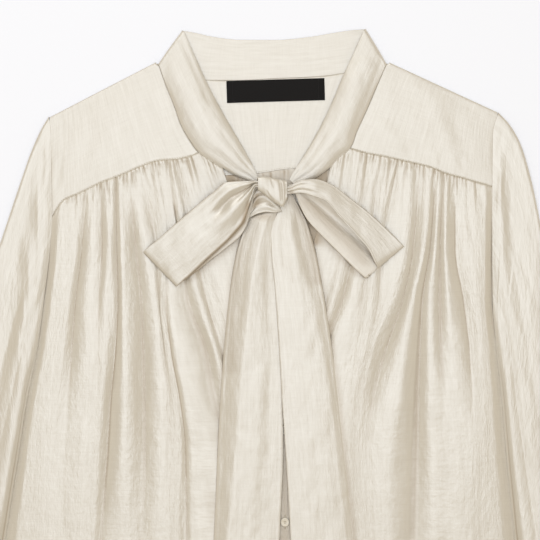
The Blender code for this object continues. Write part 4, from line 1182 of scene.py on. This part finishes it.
# A crease of a band in its own measure, from 0 to 1 across it and along it. width is half
# its breadth in shares across.
COLLAR_PLEATS = table("""
across0 along0 across1 along1 width height
0.3 -0.05 0.2 0.16 0.12 -0.6
0.66 -0.05 0.76 0.18 0.1 -0.4
0.84 0.12 0.88 0.44 0.07 -0.5
0.7 1.05 0.8 0.84 0.12 -0.6
0.4 1.05 0.26 0.8 0.1 -0.4
0.12 0.9 0.16 0.6 0.08 -0.4
""")
COLLAR_ROWS, COLLAR_BACK_ROWS = 90, 100
COLLAR_TALL = 40
LEFT_OUT, RIGHT_OUT = (-0.83, -0.55), (0.86, -0.5)


def pleated(across, run, pleats):
    """The sum of a band's pleats at each place: a bell curve of the distance across from
    the middle of each, which fades in and out along it."""
    height = 0
    for p in pleats:
        t = (run - p.along0) / (p.along1 - p.along0)
        aside = across - p.across0 - (p.across1 - p.across0) * np.clip(t, 0, 1)
        height = height + p.height * bell(aside / p.width) * faded(t, 0.2, 0.35)
    return height


def spanned(rows, across):
    """Places at shares across a band, from the seam edge to the free edge of each row."""
    return rows[:, None, :3] + (rows[:, None, 3:6] - rows[:, None, :3]) * across[:, None]


def collar():
    """Rows follow the collar from the knot up the left side, round the back of the neck and
    down the right side. At each side the loops turn over in a half circle."""
    across = np.linspace(0, 1, 30)

    def stretch(bands, count, neck=None, inward=0):
        """A stretch of the collar, with its seam edge on the yoke's edge if it has one."""
        rows = np.array(bands)
        run = run_of(rows[:, :2])
        rows = flowing(run, rows, np.linspace(0, run[-1], count))
        if neck:
            rows[:, 0] = x_at(neck, rows[:, 1]) + inward * 0.05
        lines = spanned(rows, across)
        lines[..., 2] += 0.72 * rows[:, 6:] * arch(across, 0.75)
        return lines

    def turned(a, b, outward):
        """The loops round a side of the neck, between the front and the back."""
        share = np.linspace(0, 1, 10)[1:-1, None]
        loops = a + (b - a) * share[..., None]
        loops[..., 2] = a[:, 2] + (b[:, 2] - a[:, 2]) * (1 - np.cos(pi * share)) / 2
        out = np.sin(pi * share) * np.abs(a[:, 2] - b[:, 2]) / 2
        loops[..., :2] += out[..., None] * outward
        return loops

    first = stretch(COLLAR_FRONT_LEFT, COLLAR_ROWS, NECK_LEFT, 1)
    behind = stretch(COLLAR_BACK, COLLAR_BACK_ROWS)
    last = stretch(COLLAR_FRONT_RIGHT, COLLAR_ROWS, NECK_RIGHT, -1)
    left, right = turned(first[-1], behind[0], LEFT_OUT), turned(behind[-1], last[0], RIGHT_OUT)
    points = np.concatenate([first, left, behind, right, last])[:, ::-1]
    x, d = points[..., 0], points[..., 1]
    run = np.linspace(0, 1, len(points))[:, None]
    front = np.zeros((len(points), 1))
    front[:COLLAR_ROWS], front[-COLLAR_ROWS:] = 1, 1
    soft = pleated(across[::-1], run, COLLAR_PLEATS)
    soft = soft + 0.35 * rumple(x, d, 71, 16, 22) + 0.16 * rumple(x, d, 72, 6, 8)
    lift = soft * front * faded(run, 0.04, 0.04)
    lift = lift + (0.15 + 0.16 * rumple(x, d, 73, 34, 6)) * (1 - front)
    points[..., 2] += lift * arch(across, 0.5)
    uv = grid(across * COLLAR_TALL, run_of(points[:, 15])[:, None])
    piece = cloth("stand_collar", "collar", points, uv, satin, thick=1.2, rim=0.1)


collar()


# -------------------------------------------------------------------------------- bow
# One long tie of satin, sewn to the ends of the collar and knotted in front: two loops,
# two tails that hang down the fronts, and the knot with a fold of the tie below it.

LEFT_LOOP = table("""
seam_x seam_d seam_z free_x free_d free_z roll
-10 155 17.7 -10 161 17.7 0
-19 154.4 17.2 -19 160 17 0.2
-28 154.6 18 -24 173 15.5 1.5
-46 155.5 18 -31 194 15 3
-63 167 16.5 -45 211 14.5 3.5
-92 191 14.5 -68 232 13.5 3.5
-115 211 12.6 -84 247 12 2
-129.5 223.2 11 -96.5 257.5 11 0.3
-131.3 225.2 9.9 -98.3 259.4 9.9 0
-129.5 224 8.8 -95.5 257 8.8 0
-110 210 8.8 -79 245 8.8 0
-88 191 9 -63 232 9 0
-62 171 9.6 -45 218 9.4 0
-42 162 10.6 -32.5 206 10 0
-26 158 11.8 -24.5 186 11 0
-20 156 12.6 -19 162 12.6 0
-13 155 12.8 -13 160 12.8 0
""")
RIGHT_LOOP = table("""
seam_x seam_d seam_z free_x free_d free_z roll
4 161 17.6 4 168 17.6 0
14 159.4 17.2 14 167 17 0.2
27 153.6 17.5 25 166 16.5 0.8
40 152.8 16.2 37 169 18 1.6
55 157.5 14.8 50 174 17.8 0.8
73 170.5 13.2 64 189.5 17.2 0.4
92 185 12.2 79 206 16.2 0.4
112 203 11.2 93.5 223 14.2 0.4
125.5 216.5 10.6 100 236.5 12.2 0.2
128.3 219.5 9.9 102 240.5 10.6 0
127 220 8.8 95 247.4 9 0
126.2 219.5 8.8 91.6 250.3 9 0
125.6 219 8.8 90.3 251.1 9.1 0
125 218.5 8.8 89.2 250.2 9.2 0
118 212 8.8 84.5 246 9.2 0
108 203 8.8 76 238 9.2 0
90 187 8.8 61 223 9.2 0
70 172 9.2 44 206 9.4 0
52 161 10.4 31 191 10.4 0
35 157 11.6 24.5 178 11.6 0
20 158 12.6 19.5 166 12.6 0
8 158 12.8 8 164 12.8 0
""")
LEFT_TAIL = table("""
seam_x seam_d seam_z free_x free_d free_z roll
-13 168 5.4 2 171 5.4 0
-19 181 7.2 3 184 6.8 0.4
-28 195 10.4 0 200 9.4 0.4
-37.5 222 12 -1 226 10.8 0.4
-43.5 254 12.2 1 256 10.8 0.4
-49 300 12.2 5 300 10.8 0.4
-53.5 356 11.8 8 356 10.8 0.4
-57 420 11.4 8 420 10.8 0.4
-61 512 11 4.5 512 10.8 0.4
-65 580 10.6 2 580 10.8 0.4
-67 632 10.4 0 632 10.8 0.4
""")
RIGHT_TAIL = table("""
seam_x seam_d seam_z free_x free_d free_z roll
5 168 7.2 16 166 7.2 0
4 181 7.2 24 180 6.8 0.6
-1 194 8.2 31.5 194 7 1.5
-4.5 208 9.4 36.5 210 7.6 1.8
-3.5 228 9.8 41.5 230 7.8 1.6
0 262 9.8 47.5 262 7.8 1.4
3.5 312 9.8 55.5 312 7.8 1.4
7 372 9.8 63.6 372 7.8 1.4
11 430 9.6 70 430 7.8 1.2
15.6 512 9.2 79 512 7.8 1.2
18 580 9 86 580 7.8 1.2
20 640 9 90 640 7.8 0.8
""")
TONGUE = table("""
seam_x seam_d seam_z free_x free_d free_z roll
-24.5 184 8.6 -26.5 191 8.4 0.2
-21.5 166 9.4 -16.5 186.5 9 1
-12 162 9.8 -8 185 9.4 1.6
-1 172 9 0 185.5 9.4 1.2
5 181.2 9 6.5 184.2 9 0.3
""")
LEFT_LOOP_PLEATS = table("""
across0 along0 across1 along1 width height
0.34 0 0.38 0.27 0.1 -3.6
0.14 -0.1 0.2 0.26 0.1 1.7
0.62 -0.02 0.6 0.3 0.13 1.5
0.84 0 0.88 0.2 0.06 -0.9
0.48 0.02 0.52 0.16 0.04 -0.9
0.24 0.02 0.22 0.14 0.04 -0.8
0.4 0.26 0.5 0.46 0.1 -0.5
0.8 0.52 0.78 0.97 0.12 2
""")
RIGHT_LOOP_PLEATS = table("""
across0 along0 across1 along1 width height
0.4 -0.1 0.34 0.16 0.1 -0.6
0.72 -0.04 0.8 0.2 0.09 -0.9
0.88 0.5 0.88 0.96 0.11 0.9
0.5 0.5 0.5 0.98 0.13 -2
""")
LEFT_TAIL_PLEATS = table("""
across0 along0 across1 along1 width height
0.85 0.06 0.74 0.7 0.1 -0.6
0.3 0.05 0.16 0.4 0.08 -0.4
0.66 0.3 0.5 1.1 0.12 0.5
0.6 0.6 0.55 1.05 0.12 -0.4
""")
RIGHT_TAIL_PLEATS = table("""
across0 along0 across1 along1 width height
0.16 0.02 0.14 0.26 0.09 -0.8
0.7 0.02 0.84 0.24 0.14 -1.1
0.46 0.02 0.52 0.4 0.14 0.6
0.86 0.4 0.84 1.1 0.09 -0.7
0.35 0.45 0.3 1 0.14 0.4
""")
TONGUE_PLEATS = table("""
across0 along0 across1 along1 width height
0.62 0.05 0.55 1 0.08 -1
0.8 0 0.78 1 0.1 0.7
0.4 0.1 0.3 0.7 0.06 0.8
0.28 0.15 0.16 0.6 0.05 -0.9
0.14 0.15 0.04 0.6 0.05 0.7
""")

# Painted shade along the loops' lower edges, inside the right loop, round the knot and the tongue,
# and beside the tails' edges.
LEFT_LOOP_SHADES = [
    PaintedShade([
        (-24.5, 170), (-32, 196), (-46.5, 213), (-69.5, 234.5), (-85, 249), (-97, 260),
    ], 2.4, 1.0),
    PaintedShade([(-14, 158), (-15, 170), (-19, 184)], 3, 0.7),
]
RIGHT_LOOP_SHADES = [
    PaintedShade([(15, 158), (16, 166), (17, 174)], 2.5, 0.5),
    PaintedShade([(24, 168), (38, 182), (50, 194), (63, 207), (78, 222), (92, 242)], 7, 0.32),
]
LEFT_TAIL_SHADES = [
    PaintedShade([(-12, 182), (-12, 197)], 13, 0.6),
    PaintedShade([(-26, 184), (-32, 205), (-37, 225), (-40, 250), (-43, 300), (-46, 350)], 8, 0.25),
]
RIGHT_TAIL_SHADES = [
    PaintedShade([(14, 164), (22, 180), (29, 194), (34, 210), (39, 236), (44, 262)], 8, 0.45),
]
TONGUE_SHADES = [PaintedShade([(-19, 162), (-17, 170), (-21, 184)], 4, 0.7)]

# Where a tail creases along its length: the crease's place across at a place along, and
# how far the cloth drops from there to the left and the right edge.
LEFT_TAIL_LEAN = table("""
along across left right
0 0.8 1.2 0.2
0.08 0.62 5 2
0.2 0.46 6.2 3
0.34 0.36 6 2.9
0.48 0.31 5.6 3
0.64 0.25 4.8 3
0.8 0.2 4.2 3
1 0.22 3.8 3
""")
RIGHT_TAIL_LEAN = table("""
along across left right
0 0.7 0.3 0.3
0.08 0.6 0.8 1.6
0.2 0.72 0.6 1.6
0.36 0.82 0.4 2.2
0.5 0.86 0.3 2.4
0.7 0.87 0.3 2.4
0.85 0.86 0.3 2.2
1 0.84 0.3 1.8
""")
satin_tie = satin_cloth("ivory_satin_tie", IVORY, IVORY_SHADE, 0.55, 0.35, 1.3)
satin_reverse = satin_cloth(
    "ivory_satin_reverse", (0.82, 0.775, 0.70, 1), (0.70, 0.655, 0.58, 1), 0.5, 0.38, 1.3,
)


def ribbon(
    name, node, bands, pleats, shades, seed, lean=None,
    columns=28, pitch=2.0, turned_up=False,
):
    """Rows run along the tie and columns from edge to edge, where it curls down a little.
    A lean drops from its crease to either edge, a little faster further out."""
    rows = np.array(bands)
    run = run_of((rows[:, :3] + rows[:, 3:6]) / 2)
    at = steps(run, pitch)
    if len(at) < 40:
        at = np.unique(np.concatenate([at, (at[1:] + at[:-1]) / 2]))
    rows = flowing(run, rows, at)
    roll, share = rows[:, 6:], (at / run[-1])[:, None]
    across = np.concatenate([
        [0, 0.02, 0.04, 0.06], np.linspace(0.08, 0.92, columns), [0.94, 0.96, 0.98, 1],
    ])
    points = spanned(rows, across)
    lift = 0.75 * roll * arch(across, 0.7)
    lift = lift + 0.3 * bell((np.minimum(across, 1 - across) - 0.03) / 0.02)
    if lean:
        lean = np.array(lean)
        _, crease, left, right = flowing(lean[:, 0], lean, at / run[-1]).T[:, :, None]
        lift = lift - left * np.maximum(1 - across / crease, 0) ** 1.15
        lift = lift - right * np.maximum((across - crease) / (1 - crease), 0) ** 1.15
    x, d = points[..., 0], points[..., 1]
    fine = 0.3 * rumple(x, d, seed, 9, 20) + 0.14 * rumple(x, d, seed + 1, 5, 8)
    fine = fine * faded(share, 0.05, 0.05) * (roll > 0.25)
    points[..., 2] += lift + (pleated(across, share, pleats) + fine) * arch(across, 0.5)
    width = np.hypot(*(rows[:, 3:5] - rows[:, :2]).T).max()
    uv = grid(across * width, at[:, None])
    if turned_up:
        points, uv = points[:, ::-1], uv[:, ::-1]
    piece = cloth(name, node, points, uv, satin_tie, satin_reverse, shades=shades)


# The knot's sections from left to right: where it is across, and its upper and lower edge.
KNOT = table("""
x upper lower
-17 149.5 164.5
-12.5 149.3 167
-5 150.5 172.5
2 152 177.5
7.5 152.8 180.5
12 153.5 174
""")
KNOT_BOTTOM, KNOT_TOP = 8.2, 20.5
KNOT_WALL, KNOT_RADIUS = 0.6, 9
KNOT_CREASES = table("""
x0 d0 x1 d1 bend width height
-13 151 1 177 2 2.6 0.4
-9 162 1 176 1.5 1 -0.8
-4 150 1 164 1 1 -0.5
3.6 150 6 180 -1.2 1.1 -1.3
6.8 152 8 178 -1 1.1 0.6
9.2 152 10 174 -0.6 0.9 -1
""")


def knot():
    """A short tube: rings across it, each a flattened oval between the upper and the lower
    edge, with its ends rolled in."""
    angle = np.linspace(0, 2 * pi, 72, endpoint=False)
    rows = np.array(KNOT)
    at = np.linspace(rows[0, 0], rows[-1, 0], 60)
    x, upper, lower = flowing(rows[:, 0], rows, at).T[:, :, None]
    share = np.linspace(0, 1, len(at))[:, None]
    rolled = 1 - 0.09 * (np.exp(-share * 9) + np.exp(-(1 - share) * 9))
    d = (upper + lower) / 2 + ((lower - upper) / 2 - KNOT_WALL) * rolled * np.cos(angle)
    tall = ((KNOT_TOP - KNOT_BOTTOM) / 2 - KNOT_WALL) * rolled
    z = (KNOT_TOP + KNOT_BOTTOM) / 2
    z = z + tall * np.sign(np.sin(angle)) * np.abs(np.sin(angle)) ** 0.35
    z = z + creased(x, d, KNOT_CREASES) * np.maximum(np.sin(angle), 0) ** 0.3
    uv = grid(x, angle * KNOT_RADIUS)
    piece = cloth("bow_knot", "tie_knot", grid(x, d, z), uv, satin, ring=True)


ribbon(
    "left_bow_loop", "tie_loop_left", LEFT_LOOP, LEFT_LOOP_PLEATS, LEFT_LOOP_SHADES, 81,
)
ribbon(
    "right_bow_loop", "tie_loop_right", RIGHT_LOOP, RIGHT_LOOP_PLEATS, RIGHT_LOOP_SHADES, 83,
    turned_up=True,
)
ribbon(
    "left_bow_tail", "tie_tail_left", LEFT_TAIL, LEFT_TAIL_PLEATS, LEFT_TAIL_SHADES, 85,
    LEFT_TAIL_LEAN,
)
ribbon(
    "right_bow_tail", "tie_tail_right", RIGHT_TAIL, RIGHT_TAIL_PLEATS, RIGHT_TAIL_SHADES, 87,
    RIGHT_TAIL_LEAN,
)
ribbon(
    "bow_tongue", "tie_tongue", TONGUE, TONGUE_PLEATS, TONGUE_SHADES, 89,
    columns=16, pitch=1.0, turned_up=True,
)
knot()


# -------------------------------------------------------------------------- neck label
# A black woven tape with its ends turned under, sewn flat inside the back of the
# collar. Its face is plain.

LABEL_LONG, LABEL_TALL = 98.0, 22.0
LABEL_MIDDLE = (0.7, 63.4)
LABEL_Z = 2.2
LABEL_TURN = radians(1.7)
# The turned end stands up a little, this far in from the edge.
LABEL_FOLD = 3.4


def woven_tape(name):
    """Black tape: fine ribs across and fainter ones along, in the label's own measure."""
    finish = Finish(name)
    uv = finish.node("UVMap", {"uv_map": "cloth"}, {})
    across, down = (
        finish.node(
            "TexWave", {"wave_type": "BANDS", "bands_direction": direction},
            {"Vector": uv, "Scale": scale, "Distortion": 0.6, "Detail": 1.0}, 1,
        )
        for direction, scale in (("X", 420.0), ("Y", 560.0))
    )
    weave = across * 0.6 + down * 0.4
    bump = finish.node("Bump", {}, {"Height": weave, "Strength": 0.5, "Distance": 0.0002})
    return finish.surface({
        "Base Color": finish.mix(weave, (0.004, 0.004, 0.005, 1), (0.014, 0.013, 0.014, 1)),
        "Roughness": 0.8,
        "Specular IOR Level": 0.25,
        "Normal": bump,
    })


def label():
    """A tape that lies level, with soft ends, turned about its own middle."""
    rim = np.array([0, 0.3, 0.8, 1.6])
    u, v = np.meshgrid(*(
        np.concatenate([rim, np.linspace(3, size - 3, count), size - rim[::-1]])
        for size, count in ((LABEL_LONG, 60), (LABEL_TALL, 14))
    ))
    x, y = u - LABEL_LONG / 2, v - LABEL_TALL / 2
    to_end = np.minimum(u, LABEL_LONG - u)
    edge = np.minimum(to_end, np.minimum(v, LABEL_TALL - v))
    z = LABEL_Z - 0.35 * np.exp(-edge / 0.7) + 0.12 * bell((LABEL_FOLD - to_end) / 1.2)
    points = grid(
        LABEL_MIDDLE[0] + x * np.cos(LABEL_TURN) + y * np.sin(LABEL_TURN),
        LABEL_MIDDLE[1] - x * np.sin(LABEL_TURN) + y * np.cos(LABEL_TURN),
        z + 0.14 * rumple(x, y, 91, 18, 9),
    )
    tape = woven_tape("label_tape")
    piece = cloth("neck_label", "label", points, grid(u, v), tape, thick=0.45)
    black = sewing_thread("black_thread", (0.006, 0.006, 0.007, 1), (0.03, 0.03, 0.032, 1))
    ends = np.concatenate([
        np.stack([line[3:-3], (line[3:-3] + line[4:-2]) / 2], 1)
        for line in (points[:, 6], points[:, -7])
    ])
    threads("label_threads", ends + (0, 0, 0.3), 0.36, 0.3, black)


label()


# ---------------------------------------------------------------------------- buttons
# Four-hole buttons of pearly cast resin with a raised rim, sewn on with ivory thread.
# Each holds the left front over the right one, through a buttonhole worked in thread.

BUTTON_X, BUTTON_FIRST_D, BUTTON_SPACING = 10.0, 311.0, 92.0
BUTTON_FOOT = 5.25
BUTTON_THICK, BUTTON_FACE = 1.7, 1.2
HOLE_OUT, HOLE_RADIUS, HOLE_DEPTH = 1.15, 0.62, 0.9
# The rim's section: its height over the button's foot at radii on the face, and the rings
# from its outer edge round to the back, each with its radius and height.
RIM_RADII, RIM_HEIGHTS = (2.2, 2.9, 3.4, 3.9, 4.2), (1.2, 1.28, 1.7, 1.7, 1.54)
RIM_OUTSIDE = [
    (4.36, 1.35), (4.46, 1.1), (4.5, 0.8), (4.46, 0.5), (4.3, 0.25), (3.9, 0.1), (3.2, 0),
    (1.6, 0),
]


def pearl_resin(name):
    """Cream resin with soft cloudy bands of lighter and darker cream."""
    finish = Finish(name)
    place = finish.node("TexCoord", {}, {}, "Object")
    cloud = finish.node(
        "TexNoise", {}, {"Vector": place, "Scale": 260.0, "Detail": 3.0, "Distortion": 1.5},
    )
    band = (cloud - 0.3) * 2.4
    return finish.surface({
        "Base Color": finish.mix(band, (0.86, 0.80, 0.69, 1), (0.95, 0.92, 0.84, 1)),
        "Roughness": 0.2 + cloud * 0.2,
        "Coat Weight": 0.4,
        "Coat Roughness": 0.15,
    })


resin = pearl_resin("pearl_resin")


def button(number):
    """A round plate on a polar grid: a dished face inside a rounded rim, sunk at four
    thread holes, and a flat back that closes at its middle. Under it is its buttonhole,
    two rows of thread bars between two bars at each end."""
    middle = np.array([BUTTON_X, BUTTON_FIRST_D + BUTTON_SPACING * (number - 1)])
    inner, rim = np.linspace(0.12, 2.2, 20), np.linspace(2.35, 4.2, 15)
    outside = np.array(RIM_OUTSIDE)
    radius = np.concatenate([inner, rim, outside[:, 0]])[:, None]
    face = np.append(0 * inner + BUTTON_FACE, flowing(RIM_RADII, RIM_HEIGHTS, rim))
    count, rings = 72, len(radius)
    angle = np.linspace(0, 2 * pi, count, endpoint=False)
    x, y, z = grid(
        radius * np.cos(angle), radius * np.sin(angle), np.append(face, outside[:, 1])[:, None],
    ).transpose(2, 0, 1)
    for a in np.arange(4) * pi / 2 + pi / 4:
        away = np.hypot(x - HOLE_OUT * np.cos(a), y - HOLE_OUT * np.sin(a))[: len(face)]
        z[: len(face)] -= HOLE_DEPTH * smooth((HOLE_RADIUS - away) / 0.25)
    places = grid(middle[0] + x, middle[1] + y, BUTTON_FOOT + z).reshape(-1, 3)
    centres = [(*middle, BUTTON_FOOT + BUTTON_FACE), (*middle, BUTTON_FOOT)]
    faces = []
    for i in range(count):
        j = (i + 1) % count
        for a in range(0, (rings - 1) * count, count):
            faces += [(a + i, a + j, a + count + j, a + count + i)]
        faces += [(rings * count, j, i)]
        faces += [(rings * count + 1, (rings - 1) * count + i, (rings - 1) * count + j)]
    root_piece(
        f"resin_button_{number}", np.concatenate([places, centres]), faces, resin,
        f"button_{number}",
    )

    def bars(downs, spans, level):
        """Level lengths of thread across the button, at distances down from its middle."""
        return np.array([
            [(middle[0] + end, middle[1] + down, level) for end in span]
            for down in downs for span in spans
        ])

    downs = [side * HOLE_OUT * 0.707 + shift for side in (-1, 1) for shift in (-0.14, 0.14)]
    strands = bars(downs, [(-0.85, 0.85)], BUTTON_FOOT + BUTTON_THICK - 0.38)
    threads(f"button_thread_{number}", strands, 0.26, 0.26)
    away = np.hypot(*(left_front_places[..., :2] - middle).transpose(2, 0, 1))
    level = left_front_places[..., 2].flat[away.argmin()] + SHELL / 2 + 0.05
    strands = np.concatenate([
        bars(np.arange(-6.0, 6.01, 0.42), [(-0.15, -1.05), (0.15, 1.05)], level),
        bars([-6.7, -6.3, 6.3, 6.7], [(-1.1, 1.1)], level),
    ])
    threads(f"buttonhole_{number}", strands, 0.34, 0.3)


for number in (1, 2, 3, 4):
    button(number)
